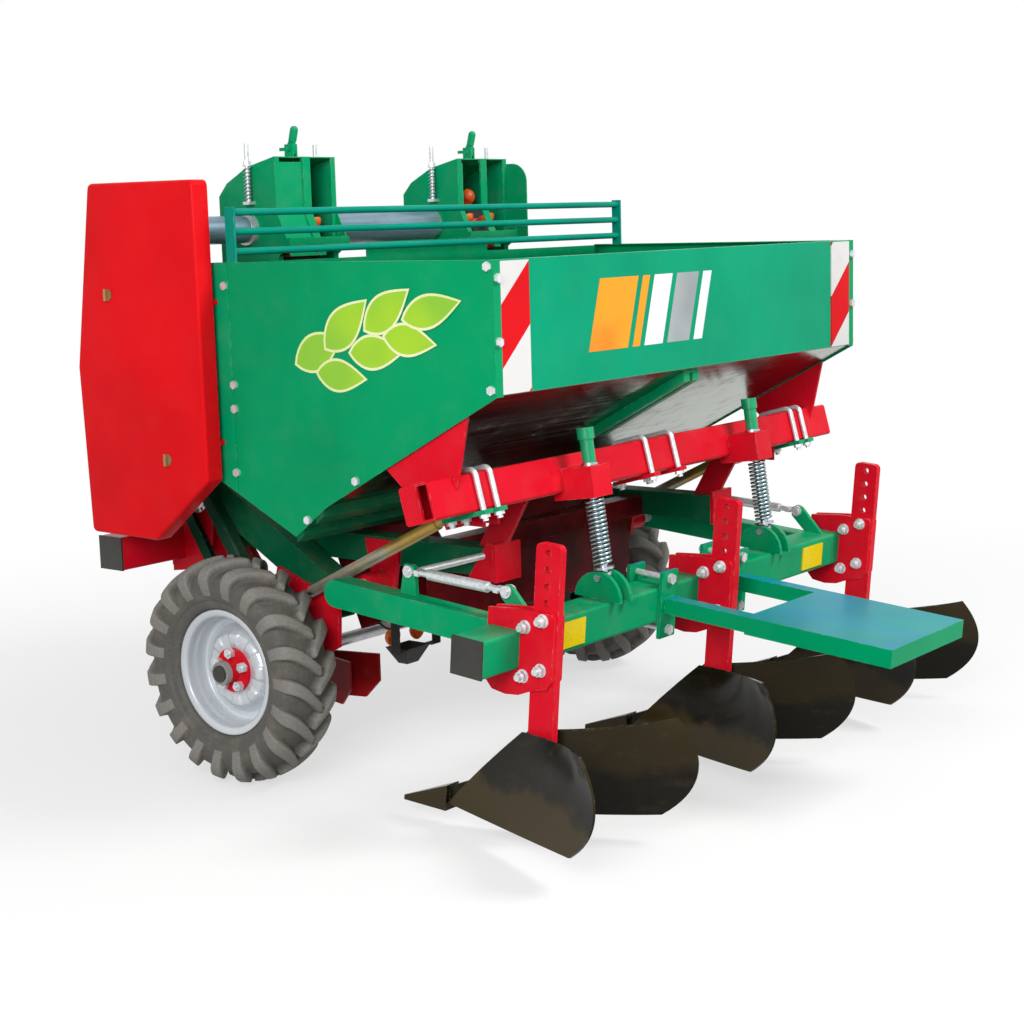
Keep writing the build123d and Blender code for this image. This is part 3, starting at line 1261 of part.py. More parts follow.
# Spring rods and ridger springs
rod_frame = Pos(rod_x, rod_pivot_y, rod_pivot_z) * Rot(-rod_lean, 0, 0)
eye_half = rod_lug_gap / 2 - 1
rod = bar((0, 0, 0), (0, 0, rod_length), rod_radius)
rod += bar_x(-eye_half, eye_half, 0, 0, 15)
rod += bar_x(-rod_lug_gap / 2 - rod_lug_plate - 6, rod_lug_gap / 2 + rod_lug_plate + 6, 0, 0, rod_pin_radius)
rod += Pos(0, 0, spring_start - 6) * Cylinder(spring_mean_radius + spring_wire_radius + 2, 6 - rest_gap,
                                              align=(Align.CENTER, Align.CENTER, Align.MIN))
sleeve_start = high_start + spring_plate + rest_gap
rod += bar((0, 0, sleeve_start), (0, 0, sleeve_start + 5), sleeve_head_radius)
rod += bar((0, 0, sleeve_start + 4), (0, 0, rod_length), sleeve_radius)
rod += bar((0, 0, rod_length - sleeve_head), (0, 0, rod_length), sleeve_head_radius)
add("spring_rods", *pair(rod_frame * rod))
coil = helix_spring(spring_mean_radius, spring_wire_radius, spring_turns, spring_length)
add("ridger_springs", *pair(rod_frame * Pos(0, 0, spring_start) * coil))

# Tower levers
for name, x in (("left_tower_lever", -row_x), ("right_tower_lever", row_x)):
    half = lever_thickness / 2
    outline = [(lever_pivot_y + 13, lever_pivot_z - 12), (lever_pivot_y + 13, lever_pivot_z + 8),
               (lever_pivot_y + 2, lever_pivot_z + lever_neck),
               (lever_pivot_y - 16, lever_pivot_z + lever_neck),
               (lever_pivot_y - 15, lever_pivot_z), (lever_pivot_y - 13, lever_pivot_z - 12)]
    lever = plate_yz(outline, x - half, x + half)
    grip_low = (x, lever_pivot_y - 7, lever_pivot_z + lever_neck - 4)
    grip_high = (x, lever_pivot_y - 15, lever_pivot_z + lever_length - lever_grip_radius)
    lever += bar(grip_low, grip_high, lever_grip_radius) + Pos(*grip_high) * Sphere(lever_grip_radius)
    lever += bar_x(x - 14, x + 14, lever_pivot_y, lever_pivot_z, 6 - running_gap)
    lever += block(x - half, x + half, lever_pivot_y + 10, lever_pivot_y + 40, lever_pivot_z - 3,
                   lever_pivot_z + 6)
    add(name, lever)

# The origin lies halfway between the ends
middle = Pos(0, -(front_end_y + rear_end_y) / 2, 0)
os.makedirs("parts", exist_ok=True)
for name, solids in nodes.items():
    shapes = []
    for solid in solids:
        shapes += [middle * piece for piece in solid.solids()]
    export_step(shapes[0] if len(shapes) == 1 else Compound(children=shapes), f"parts/{name}.step")
print(len(nodes), "nodes")
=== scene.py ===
import bpy
import bmesh
import numpy as np
from math import cos, pi, radians, sin
from mathutils import Matrix, Vector
from mathutils.geometry import tessellate_polygon


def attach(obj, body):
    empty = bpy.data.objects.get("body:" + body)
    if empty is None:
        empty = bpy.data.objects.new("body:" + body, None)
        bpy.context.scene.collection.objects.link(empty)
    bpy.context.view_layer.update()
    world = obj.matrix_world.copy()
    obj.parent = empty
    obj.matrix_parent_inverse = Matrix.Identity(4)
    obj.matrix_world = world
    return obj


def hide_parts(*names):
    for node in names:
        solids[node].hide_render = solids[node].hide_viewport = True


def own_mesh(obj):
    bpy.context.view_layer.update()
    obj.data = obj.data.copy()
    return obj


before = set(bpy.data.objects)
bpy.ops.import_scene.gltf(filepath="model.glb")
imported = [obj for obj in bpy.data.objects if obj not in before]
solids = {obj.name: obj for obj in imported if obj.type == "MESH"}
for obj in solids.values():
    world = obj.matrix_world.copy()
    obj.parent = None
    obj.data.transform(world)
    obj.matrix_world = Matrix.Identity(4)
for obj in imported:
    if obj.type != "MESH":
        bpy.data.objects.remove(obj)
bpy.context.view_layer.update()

scene = bpy.context.scene
scene.view_settings.view_transform = "Standard"


# Colours, written as they look on a screen
def shade(code):
    """A screen colour such as 'E31E26' as linear red, green, blue and alpha."""
    parts = [int(code[i:i + 2], 16) / 255 for i in (0, 2, 4)]
    return tuple(c / 12.92 if c <= 0.04045 else ((c + 0.055) / 1.055) ** 2.4 for c in parts) + (1.0,)


side_green = shade("009861")
panel_green = shade("009C72")
frame_green = shade("009C66")
fence_green = shade("00927C")
# A very dark green for the chain case, a painted shade where it sits low under the machine
shaded_case_green = shade("0B3B27")
# A darker copy of the green, a painted shade for the parts under the hopper
shaded_green = shade("04623F")
# Teal for a painted sky reflection on the deck's top
sky_reflection_teal = shade("0C8BA3")
guard_red = shade("E4121B")
beam_red = shade("DA1228")
# The opener's dark red is painted shade; the full red below is its lit part
shaded_shoe_red = shade("8A1418")
lit_shoe_red = shade("D2222A")
stripe_red = shade("D9161E")
# Dark red for painted shade on the supports and seed ducts under the hopper
shaded_support_red = shade("3C1012")
hub_nose_grey = shade("9B9A96")
hub_cap_grey = shade("4A4A48")
wing_enamel = shade("18160D")
wing_scuff = shade("4A4230")
wing_film = shade("46391C")
dust_beige = shade("B9AC96")
worn_grey = shade("B8BAB4")
paint_shine = 0.045

# Sizes of the solids that a finish depends on, in metres
board_top = 1.344
stripe_period = 0.2837
stripe_slope = 0.913
stripe_start = 0.633
sleeve_foot = 0.846
spindle_thread_top = 0.497
spindle_tube_middle = 0.63
hub_nose_x = 0.822
hub_cap_x = 0.837
hopper_side_x = -0.823
rear_panel_y = -0.440
wing_film_top = 0.15
# Heights where the opener's painted shade gives way to the lit red
opener_lit_low, opener_lit_high = 0.11, 0.2
rear_post_y = 0.03


# Small steps for building node trees
def put(tree, kind, inputs=None, **settings):
    """A node with its settings and its inputs, each a value or another node's output."""
    node = tree.nodes.new(kind)
    for key, value in settings.items():
        setattr(node, key, value)
    for key, value in (inputs or {}).items():
        if isinstance(value, bpy.types.NodeSocket):
            tree.links.new(value, node.inputs[key])
        else:
            node.inputs[key].default_value = value
    return node


def sum_up(tree, operation, first, second=0.0, clamp=False):
    """One step of arithmetic."""
    return put(tree, "ShaderNodeMath", {0: first, 1: second}, operation=operation, use_clamp=clamp).outputs[0]


def ramp(tree, value, low, high, start=0.0, end=1.0):
    """A smooth rise from start to end as the value goes from low to high."""
    return put(tree, "ShaderNodeMapRange", {0: value, 1: low, 2: high, 3: start, 4: end},
               interpolation_type="SMOOTHSTEP").outputs[0]


def blend(tree, mask, first, second):
    """The first colour where the mask is 0, the second where it is 1."""
    return put(tree, "ShaderNodeMix", {0: mask, 6: first, 7: second}, data_type="RGBA").outputs[2]


def place(tree):
    """The surface's own place on the machine, in metres."""
    return put(tree, "ShaderNodeTexCoord").outputs["Object"]


def split(tree, vector):
    """The X, Y and Z of a vector."""
    return put(tree, "ShaderNodeSeparateXYZ", {0: vector}).outputs


def speckle(tree, where, scale, detail=3.0, rough=0.55):
    """Noise between 0 and 1."""
    inputs = {"Vector": where, "Scale": scale, "Detail": detail, "Roughness": rough}
    return put(tree, "ShaderNodeTexNoise", inputs).outputs[0]


def stretched(tree, where, stretch):
    """A place drawn out along an axis, for streaks."""
    return put(tree, "ShaderNodeMapping", {"Vector": where, "Scale": stretch}).outputs[0]


def toned(tree, colour, tone):
    """A colour made lighter or darker by a tone about 1."""
    return put(tree, "ShaderNodeVectorMath", {0: colour, 3: tone}, operation="SCALE").outputs[0]


def effect(name, inputs, outputs):
    """An empty node group with named inputs and outputs."""
    group = bpy.data.node_groups.new(name, "ShaderNodeTree")
    for label, kind, value in inputs:
        socket = group.interface.new_socket(label, in_out="INPUT", socket_type=kind)
        socket.default_value = value
    for label, kind in outputs:
        group.interface.new_socket(label, in_out="OUTPUT", socket_type=kind)
    return group, group.nodes.new("NodeGroupInput").outputs, group.nodes.new("NodeGroupOutput").inputs


value_kind = "NodeSocketFloat"
colour_kind = "NodeSocketColor"
vector_kind = "NodeSocketVector"


def make_weathering():
    """Sprayed paint out of doors: uneven tone, orange peel, dust on top and bare edges."""
    group, given, result = effect(
        "weathering",
        [("Paint", colour_kind, (0.5, 0.5, 0.5, 1)), ("Dust", value_kind, 0.3), ("Wear", value_kind, 0.3),
         ("Gloss", value_kind, 0.3)],
        [("Colour", colour_kind), ("Roughness", value_kind), ("Relief", value_kind)])
    where = place(group)
    tone = ramp(group, speckle(group, where, 2.3), 0.32, 0.68, 0.9, 1.07)
    paint = toned(group, given["Paint"], tone)
    normal = put(group, "ShaderNodeNewGeometry").outputs["Normal"]
    upward = ramp(group, split(group, normal)[2], 0.3, 1.0, 0.25, 1.0)
    patches = ramp(group, speckle(group, where, 11.0, 7.0, 0.66), 0.4, 0.9)
    dust = sum_up(group, "MULTIPLY", sum_up(group, "MULTIPLY", patches, upward), given["Dust"], True)
    dusted = blend(group, dust, paint, dust_beige)
    rounded = put(group, "ShaderNodeBevel", {"Radius": 0.0035}, samples=4).outputs[0]
    facing = put(group, "ShaderNodeVectorMath", {0: rounded, 1: normal},
                 operation="DOT_PRODUCT").outputs["Value"]
    edge = ramp(group, facing, 0.99, 0.86)
    chips = ramp(group, speckle(group, where, 46.0, 5.0, 0.7), 0.5, 0.62)
    worn = sum_up(group, "MULTIPLY", sum_up(group, "MULTIPLY", edge, chips), given["Wear"], True)
    group.links.new(blend(group, worn, dusted, worn_grey), result["Colour"])
    dull = sum_up(group, "MULTIPLY", dust, 0.4)
    uneven = ramp(group, speckle(group, where, 5.0), 0.3, 0.7, -0.04, 0.06)
    group.links.new(sum_up(group, "ADD", sum_up(group, "ADD", given["Gloss"], dull), uneven, True),
                    result["Roughness"])
    group.links.new(speckle(group, where, 330.0, 1.0), result["Relief"])
    return group


def make_metal_grain():
    """Plated or drawn metal: fine streaks along one axis and cloudy tone."""
    group, given, result = effect(
        "metal_grain",
        [("Metal", colour_kind, (0.6, 0.6, 0.6, 1)), ("Stain", colour_kind, (0.3, 0.28, 0.25, 1)),
         ("Streaks", vector_kind, (60.0, 60.0, 60.0)), ("Stained", value_kind, 0.3),
         ("Gloss", value_kind, 0.3)],
        [("Colour", colour_kind), ("Roughness", value_kind), ("Relief", value_kind)])
    where = place(group)
    streak = speckle(group, stretched(group, where, given["Streaks"]), 1.0, 4.0)
    tone = ramp(group, streak, 0.3, 0.7, 0.86, 1.08)
    metal = toned(group, given["Metal"], tone)
    cloud = ramp(group, speckle(group, where, 17.0, 6.0, 0.65), 0.48, 0.75)
    stain = sum_up(group, "MULTIPLY", cloud, given["Stained"], True)
    group.links.new(blend(group, stain, metal, given["Stain"]), result["Colour"])
    matt = sum_up(group, "MULTIPLY", stain, 0.3)
    uneven = ramp(group, streak, 0.3, 0.7, -0.05, 0.06)
    group.links.new(sum_up(group, "ADD", sum_up(group, "ADD", given["Gloss"], matt), uneven, True),
                    result["Roughness"])
    group.links.new(streak, result["Relief"])
    return group


weathering = make_weathering()
metal_grain = make_metal_grain()


def blank(name):
    """A new material with its tree and its shader."""
    material = bpy.data.materials.new(name)
    material.use_nodes = True
    tree = material.node_tree
    return material, tree, tree.nodes["Principled BSDF"]


def fix(shader, values):
    """Sets what is the same all over a surface on the shader itself."""
    for key, value in values.items():
        shader.inputs[key].default_value = value


def roughen(tree, shader, height, strength, depth):
    """Raises fine relief by a height between 0 and 1."""
    bump = put(tree, "ShaderNodeBump", {"Height": height, "Strength": strength, "Distance": depth})
    tree.links.new(bump.outputs[0], shader.inputs["Normal"])


def use(tree, group, shader, values, relief=0.05, depth=0.001):
    """Feeds a group's colour, roughness and relief to the shader."""
    node = put(tree, "ShaderNodeGroup", values, node_tree=group)
    tree.links.new(node.outputs["Colour"], shader.inputs["Base Color"])
    tree.links.new(node.outputs["Roughness"], shader.inputs["Roughness"])
    roughen(tree, shader, node.outputs["Relief"], relief, depth)
    return node


def sprayed(name, colour, dust=0.25, wear=0.35, gloss=0.28, coat=0.02, tint=None, shine=paint_shine,
            metallic=0.0):
    """Glossy machine paint. A tint may turn the plain colour into a patterned one."""
    material, tree, shader = blank(name)
    paint = tint(tree, colour) if tint else colour
    use(tree, weathering, shader, {"Paint": paint, "Dust": dust, "Wear": wear, "Gloss": gloss}, 0.04)
    fix(shader, {"Specular IOR Level": shine, "Metallic": metallic})
    fix(shader, {"Coat Weight": coat, "Coat Roughness": 0.08})
    return material


def plated(name, metal, stain, streaks=(70.0, 70.0, 70.0), stained=0.35, gloss=0.32, metallic=1.0):
    """Bare or plated metal."""
    material, tree, shader = blank(name)
    use(tree, metal_grain, shader,
        {"Metal": metal, "Stain": stain, "Streaks": streaks, "Stained": stained, "Gloss": gloss}, 0.08)
    fix(shader, {"Metallic": metallic})
    return material


def sky_reflection_tint(tree, colour):
    """Painted reflection of the sky: teal on what faces up, in clouds."""
    normal = put(tree, "ShaderNodeNewGeometry").outputs["Normal"]
    top = ramp(tree, split(tree, normal)[2], 0.7, 0.98)
    cloud = ramp(tree, speckle(tree, place(tree), 4.0, 4.0), 0.3, 0.65, 0.55, 1.0)
    return blend(tree, sum_up(tree, "MULTIPLY", top, cloud), colour, sky_reflection_teal)


def stripe_tint(tree, colour):
    """Red diagonal bands across the white boards."""
    x, y, z = split(tree, place(tree))
    down = sum_up(tree, "SUBTRACT", board_top, z)
    along = sum_up(tree, "ADD", sum_up(tree, "MULTIPLY", x, stripe_slope), stripe_start)
    turn = sum_up(tree, "DIVIDE", sum_up(tree, "ADD", down, along), stripe_period)
    band = sum_up(tree, "LESS_THAN", sum_up(tree, "FLOORED_MODULO", turn, 1.0), 0.5)
    return blend(tree, band, colour, stripe_red)


def opener_light_tint(tree, colour):
    """Full red near the soil as the lit part, the darker red above it as painted shade."""
    height = split(tree, place(tree))[2]
    low = ramp(tree, height, opener_lit_high, opener_lit_low)
    return blend(tree, low, colour, lit_shoe_red)


def support_shade_tint(tree, colour):
    """Red paint darkened in cloudy patches in front of the rear posts, a painted shade under the hopper."""
    y = split(tree, place(tree))[1]
    cloud = ramp(tree, speckle(tree, place(tree), 6.0, 5.0, 0.6), 0.3, 0.7, 0.75, 1.0)
    ahead_of_posts = ramp(tree, y, rear_post_y, rear_post_y + 0.02)
    return blend(tree, sum_up(tree, "MULTIPLY", ahead_of_posts, cloud), colour, shaded_support_red)


def hub_tint(tree, colour):
    """Bare metal on the nose of the hub, with a dark cap."""
    out = sum_up(tree, "ABSOLUTE", split(tree, place(tree))[0])
    nose = blend(tree, sum_up(tree, "GREATER_THAN", out, hub_nose_x), colour, hub_nose_grey)
    return blend(tree, sum_up(tree, "GREATER_THAN", out, hub_cap_x), nose, hub_cap_grey)


paint_side = sprayed("hopper_side_paint", side_green, dust=0.12, wear=0.2, gloss=0.26)
paint_panel = sprayed("hopper_panel_paint", panel_green, dust=0.10, wear=0.2, gloss=0.26)
paint_frame = sprayed("frame_green_paint", frame_green, dust=0.3, wear=0.4, gloss=0.27)
# The deck's teal on up-facing surfaces is a painted sky reflection
paint_deck = sprayed("deck_paint", frame_green, dust=0.03, wear=0.4, gloss=0.2, coat=0.0, tint=sky_reflection_tint,
                     shine=0.04)
paint_guard = sprayed("guard_paint", guard_red, dust=0.08, wear=0.25, gloss=0.3)
paint_beam = sprayed("beam_paint", beam_red, dust=0.2, wear=0.35, gloss=0.27)
paint_fence = sprayed("fence_paint", fence_green, dust=0.1, wear=0.3, gloss=0.27)
# Painted shade: the trough, frame rails and wheel arms under the hopper get the darker green
paint_shaded_green = sprayed("shaded_green_paint", shaded_green, dust=0.3, wear=0.4, gloss=0.36)
# The chain case's near-black green is painted shade
paint_case = sprayed("case_paint", shaded_case_green, dust=0.25, wear=0.3, gloss=0.36)
paint_hub = sprayed("hub_paint", beam_red, dust=0.15, wear=0.3, gloss=0.3, tint=hub_tint)
# Painted shade darkens the supports and seed ducts in front of the rear posts
paint_support = sprayed("support_paint", beam_red, dust=0.2, wear=0.35, gloss=0.27, tint=support_shade_tint)
# The opener gets painted shade above and lit red near the soil
paint_shoe = sprayed("opener_paint", shaded_shoe_red, dust=0.3, wear=0.5, gloss=0.36, coat=0.05, tint=opener_light_tint)
paint_boards = sprayed("striped_board_paint", shade("DEDCDA"), dust=0.04, wear=0.1, gloss=0.4, coat=0.0,
                       tint=stripe_tint)
zinc = plated("zinc_plating", shade("DCE0E3"), shade("B2B5BA"), streaks=(90.0, 90.0, 90.0), stained=0.4,
              gloss=0.36, metallic=0.45)
latch_brass = plated("latch_brass", shade("A88D60"), shade("6F5C40"), streaks=(90.0, 90.0, 90.0),
                     stained=0.5, gloss=0.42, metallic=0.6)
spring_steel = plated("spring_steel", shade("9DB0B4"), shade("6E7C80"), streaks=(40.0, 40.0, 140.0),
                      stained=0.3, gloss=0.26)
bright_sheet = plated("bright_sheet", shade("727E6E"), shade("56594C"), streaks=(2.0, 160.0, 160.0),
                      stained=0.35, gloss=0.14)
silver = sprayed("rim_silver", shade("CDD3D8"), dust=0.2, wear=0.0, gloss=0.28, coat=0.1, shine=0.5,
                 metallic=0.25)
oiled = plated("oiled_chain", shade("5E5B57"), shade("2E2B27"), streaks=(120.0, 120.0, 120.0), stained=0.6,
               gloss=0.4)
shaft_paint = plated("shaft_blue_grey", shade("7F98A8"), shade("5C6C79"), streaks=(6.0, 120.0, 120.0),
                     stained=0.3, gloss=0.34, metallic=0.5)


def make_wing_black():
    """Glossy black enamel, scuffed where soil slides, with a brown film low in front and high behind."""
    material, tree, shader = blank("wing_black")
    where = place(tree)
    facing = split(tree, put(tree, "ShaderNodeNewGeometry").outputs["Normal"])[1]
    cloud = ramp(tree, speckle(tree, where, 9.0, 4.0), 0.3, 0.7, -0.02, 0.02)
    height = sum_up(tree, "ADD", split(tree, where)[2], cloud)
    low = ramp(tree, height, wing_film_top + 0.02, wing_film_top - 0.02)
    high = ramp(tree, height, wing_film_top, wing_film_top + 0.05, 0.0, 0.5)
    working = sum_up(tree, "MULTIPLY", low, ramp(tree, facing, 0.0, 0.2))
    rear = sum_up(tree, "MULTIPLY", high, ramp(tree, facing, 0.0, -0.2))
    film_cover = sum_up(tree, "MULTIPLY", sum_up(tree, "ADD", working, rear, True), 0.75)
    scuff = ramp(tree, speckle(tree, stretched(tree, where, (30.0, 3.0, 30.0)), 1.0, 6.0, 0.6), 0.52, 0.78)
    node = use(tree, weathering, shader, {"Paint": wing_enamel, "Dust": 0.06, "Wear": 0.35, "Gloss": 0.17})
    dull = sum_up(tree, "ADD", node.outputs["Roughness"], sum_up(tree, "MULTIPLY", scuff, 0.14), True)
    tree.links.new(dull, shader.inputs["Roughness"])
    worn = blend(tree, sum_up(tree, "MULTIPLY", scuff, 0.3), node.outputs["Colour"], wing_scuff)
    tree.links.new(blend(tree, film_cover, worn, wing_film), shader.inputs["Base Color"])
    fix(shader, {"Specular IOR Level": 0.11, "Coat Weight": 0.03, "Coat Roughness": 0.1})
    return material


def make_tyre_rubber():
    """Rubber painted lighter grey on the lug tops as a highlight and darker elsewhere as shade, with dried
    soil.
    """
    material, tree, shader = blank("tyre_rubber")
    where = place(tree)
    lug_highlight = put(tree, "ShaderNodeAttribute", attribute_name="lug_highlight").outputs["Fac"]
    fine = speckle(tree, where, 150.0, 5.0, 0.6)
    grain = ramp(tree, fine, 0.3, 0.7)
    groove_shade = blend(tree, grain, shade("504E4A"), shade("5D5B56"))
    # The lighter grey on the lug tops is a painted highlight; the darker rubber off them is painted shade
    rubbed = blend(tree, grain, shade("77756F"), shade("888680"))
    base = blend(tree, ramp(tree, lug_highlight, 0.1, 0.9), groove_shade, rubbed)
    soil = ramp(tree, speckle(tree, where, 17.0, 8.0, 0.7), 0.45, 0.75)
    soiled = blend(tree, sum_up(tree, "MULTIPLY", soil, 0.4), base, shade("8C8272"))
    tree.links.new(soiled, shader.inputs["Base Color"])
    tree.links.new(ramp(tree, fine, 0.2, 0.8, 0.5, 0.75), shader.inputs["Roughness"])
    fix(shader, {"Specular IOR Level": 0.35})
    roughen(tree, shader, fine, 0.25, 0.002)
    return material


def moulded(name, light, dark, gloss, scale=120.0, relief=0.15):
    """Moulded plastic or rubber with a fine grain."""
    material, tree, shader = blank(name)
    where = place(tree)
    grain = speckle(tree, where, scale, 3.0)
    cloud = ramp(tree, speckle(tree, where, 9.0, 4.0), 0.3, 0.7)
    tree.links.new(blend(tree, cloud, light, dark), shader.inputs["Base Color"])
    tree.links.new(ramp(tree, grain, 0.25, 0.75, gloss - 0.06, gloss + 0.08), shader.inputs["Roughness"])
    roughen(tree, shader, grain, relief, 0.0008)
    return material


def make_reflector_yellow():
    """Prismatic yellow plastic under a clear face."""
    material, tree, shader = blank("reflector_yellow")
    where = place(tree)
    cells = put(tree, "ShaderNodeTexVoronoi", {"Vector": where, "Scale": 190.0}).outputs["Distance"]
    tree.links.new(blend(tree, ramp(tree, cells, 0.1, 0.7), shade("F7E300"), shade("EBCB00")),
                   shader.inputs["Base Color"])
    tree.links.new(ramp(tree, cells, 0.0, 0.8, 0.2, 0.34), shader.inputs["Roughness"])
    roughen(tree, shader, cells, 0.3, 0.001)
    fix(shader, {"Specular IOR Level": 0.15, "Coat Weight": 0.08})
    return material


def two_part(name, low, high, split_height, low_metal, high_metal, low_gloss, high_gloss):
    """A rod with one finish below a height and another above it."""
    material, tree, shader = blank(name)
    where = place(tree)
    top = sum_up(tree, "GREATER_THAN", split(tree, where)[2], split_height)
    streak = speckle(tree, stretched(tree, where, (80.0, 25.0, 25.0)), 1.0, 4.0)
    tone = ramp(tree, streak, 0.3, 0.7, 0.85, 1.1)
    tree.links.new(toned(tree, blend(tree, top, low, high), tone), shader.inputs["Base Color"])
    tree.links.new(ramp(tree, top, 0.0, 1.0, low_metal, high_metal), shader.inputs["Metallic"])
    gloss = ramp(tree, top, 0.0, 1.0, low_gloss, high_gloss)
    tree.links.new(sum_up(tree, "ADD", gloss, ramp(tree, streak, 0.3, 0.7, -0.05, 0.07), True),
                   shader.inputs["Roughness"])
    return material


def make_spindle_finish():
    """A bright thread, then a tube whose yellow passivation is rubbed grey at its lower half."""
    material, tree, shader = blank("spindle_finish")
    where = place(tree)
    height = split(tree, where)[2]
    streak = speckle(tree, stretched(tree, where, (80.0, 25.0, 25.0)), 1.0, 4.0)
    cloud = ramp(tree, speckle(tree, where, 14.0, 5.0), 0.3, 0.7, -0.05, 0.05)
    rubbed = ramp(tree, sum_up(tree, "ADD", height, cloud), spindle_tube_middle + 0.05,
                  spindle_tube_middle - 0.05)
    tube = blend(tree, rubbed, shade("B08F45"), shade("A09A88"))
    thread = sum_up(tree, "LESS_THAN", height, spindle_thread_top)
    base = blend(tree, thread, tube, shade("B4B6B8"))
    tone = ramp(tree, streak, 0.3, 0.7, 0.82, 1.1)
    tree.links.new(toned(tree, base, tone), shader.inputs["Base Color"])
    tree.links.new(ramp(tree, thread, 0.0, 1.0, 0.55, 1.0), shader.inputs["Metallic"])
    tree.links.new(ramp(tree, streak, 0.3, 0.7, 0.33, 0.46), shader.inputs["Roughness"])
    return material


wing_black = make_wing_black()
tyre_rubber = make_tyre_rubber()
cap_plastic = moulded("cap_plastic", shade("2E2D28"), shade("201F1B"), gloss=0.5)
belt_rubber = moulded("belt_rubber", shade("2A2A29"), shade("1F1F1E"), gloss=0.7)
cup_plastic = moulded("cup_plastic", shade("F58428"), shade("DE4E1A"), gloss=0.38, scale=60.0, relief=0.06)
reflector_yellow = make_reflector_yellow()
rod_finish = two_part("spring_rod_finish", shade("C3CAD2"), frame_green, split_height=sleeve_foot,
                      low_metal=1.0, high_metal=0.0, low_gloss=0.3, high_gloss=0.3)
spindle_finish = make_spindle_finish()

finishes = {
    paint_side: ("hopper_left_side", "hopper_right_side"),
    paint_panel: ("hopper_rear_panel",),
    paint_fence: ("hopper_fence",),
    paint_shaded_green: ("hopper_trough", "frame_rails", "wheel_arms"),
    paint_frame: ("hopper_front_wall", "floor_braces", "left_tower", "right_tower", "toolbar",
                  "ridger_arms", "left_tower_lever", "right_tower_lever"),
    paint_deck: ("step_platform",),
    paint_guard: ("guard_cover", "guard_back_plate"),
    paint_beam: ("front_beam", "rear_beam", "hitch_mast", "frame_brackets", "axle_brackets", "ridger_legs",
                 "leg_clamps"),
    paint_hub: ("hubs",),
    paint_support: ("hopper_supports", "seed_ducts"),
    paint_shoe: ("furrow_openers",),
    paint_boards: ("striped_boards",),
    zinc: ("steel_pins", "frame_fasteners", "shaft_bearings", "tension_rods", "cross_shaft", "wheel_nuts",
           "layshaft", "lower_pulleys", "turnbuckles", "toolbar_bolts"),
    latch_brass: ("upper_guard_latch", "lower_guard_latch"),
    spring_steel: ("tension_springs", "ridger_springs"),
    bright_sheet: ("hopper_rear_floor",),
    silver: ("rims",),
    oiled: ("upper_chain", "arm_chain"),
    shaft_paint: ("top_shaft",),
    wing_black: ("ridger_wings", "ridger_points"),
    tyre_rubber: ("tyres",),
    cap_plastic: ("front_beam_caps", "toolbar_caps"),
    belt_rubber: ("elevator_belts", "seed_boots"),
    cup_plastic: ("seed_cups",),
    reflector_yellow: ("reflectors",),
    rod_finish: ("spring_rods",),
    spindle_finish: ("depth_spindles",),
}
for material, names in finishes.items():
    for name in names:
        for slot in solids[name].material_slots:
            slot.material = material


# Wheels: turned round the axle from a section in millimetres, each point as its distance out of the wheel's
# middle and its radius
wheel_centre_x = 0.770
axle_y, axle_z = 0.485, 0.300
tread_radius = 300
tread_limit = 299.0
tyre_half = 81
tyre_outline = [(-48, 165), (-60, 170), (-66, 179), (-68, 189), (-73, 195), (-78, 208), (-80, 222),
                (-78, 236), (-73, 248), (-64, 257), (-46, 266), (-23, 272), (0, 274)]
bead_half, bead_radius = 48.0, 151.0
lugs_each_side = 19
lug_rise = [(165, 0), (200, 0), (214, 3), (232, 10), (248, 19), (257, 23), (274, 24)]
lug_half_widths = [-0.1, 0.1, 0.5, 1.0], [18, 21, 21, 15]
lug_sweep, lug_lead, lug_past_middle = 80, 32, 8
lug_side_softness, lug_end, lug_end_softness = 3.4, 9, 3
# Radius above which the lug tops get the painted highlight
lug_highlight_from = 205
rim_section = [(50.5, 163.5), (53, 165), (55, 163.5), (55.5, 160), (54, 152), (51, 147), (46, 144.5),
               (28, 143.5), (20, 140), (-2, 139), (-8, 136), (-10.5, 130), (-11, 118), (-4, 109), (8, 99),
               (13, 94), (14.8, 89), (14.8, 62), (14.8, 33), (9.2, 33), (9.2, 87), (-2, 103), (-17, 117),
               (-17, 140), (-50, 140), (-52, 148), (-55, 158), (-55, 163), (-51, 163.5), (-49.5, 158),
               (-49.5, 150.4), (49.5, 150.4), (49.5, 158)]
rim_ribs, rib_height = 8, 5.5
rib_inner_radius, rib_outer_radius = 68, 106


def smooth_path(points, count):
    """Points along a smooth line through the given ones."""
    points = np.array(points, float)
    last = len(points) - 1
    out = []
    for t in np.linspace(0, last, count):
        i = min(int(t), last - 1)
        f = t - i
        a, b, c, d = (points[min(max(i + k, 0), last)] for k in (-1, 0, 1, 2))
        line = 2 * b + (c - a) * f
        bend = (2 * a - 5 * b + 4 * c - d) * f ** 2 + (3 * b - a - 3 * c + d) * f ** 3
        out.append(0.5 * (line + bend))
    return np.array(out)


def soft_step(value, width):
    """0 below minus the width, 1 above it, smooth between."""
    t = np.clip(value / (2 * width) + 0.5, 0, 1)
    return t * t * (3 - 2 * t)


def turned(across, radius, side):
    """Points and faces of a closed section carried round the axle: rows go round, columns along it."""
    rounds, wide = across.shape
    turn = np.linspace(0, 2 * pi, rounds, endpoint=False)[:, None]
    x = side * (wheel_centre_x + across / 1000)
    points = np.stack([x, axle_y + radius / 1000 * np.sin(turn), axle_z - radius / 1000 * np.cos(turn)], 2)
    index = np.arange(rounds * wide).reshape(rounds, wide)
    onward = np.roll(index, -1, axis=0)
    quads = np.stack([index, np.roll(index, -1, axis=1), np.roll(onward, -1, axis=1), onward], 2)
    faces = quads.reshape(-1, 4)
    return points.reshape(-1, 3), faces if side > 0 else faces[:, ::-1]


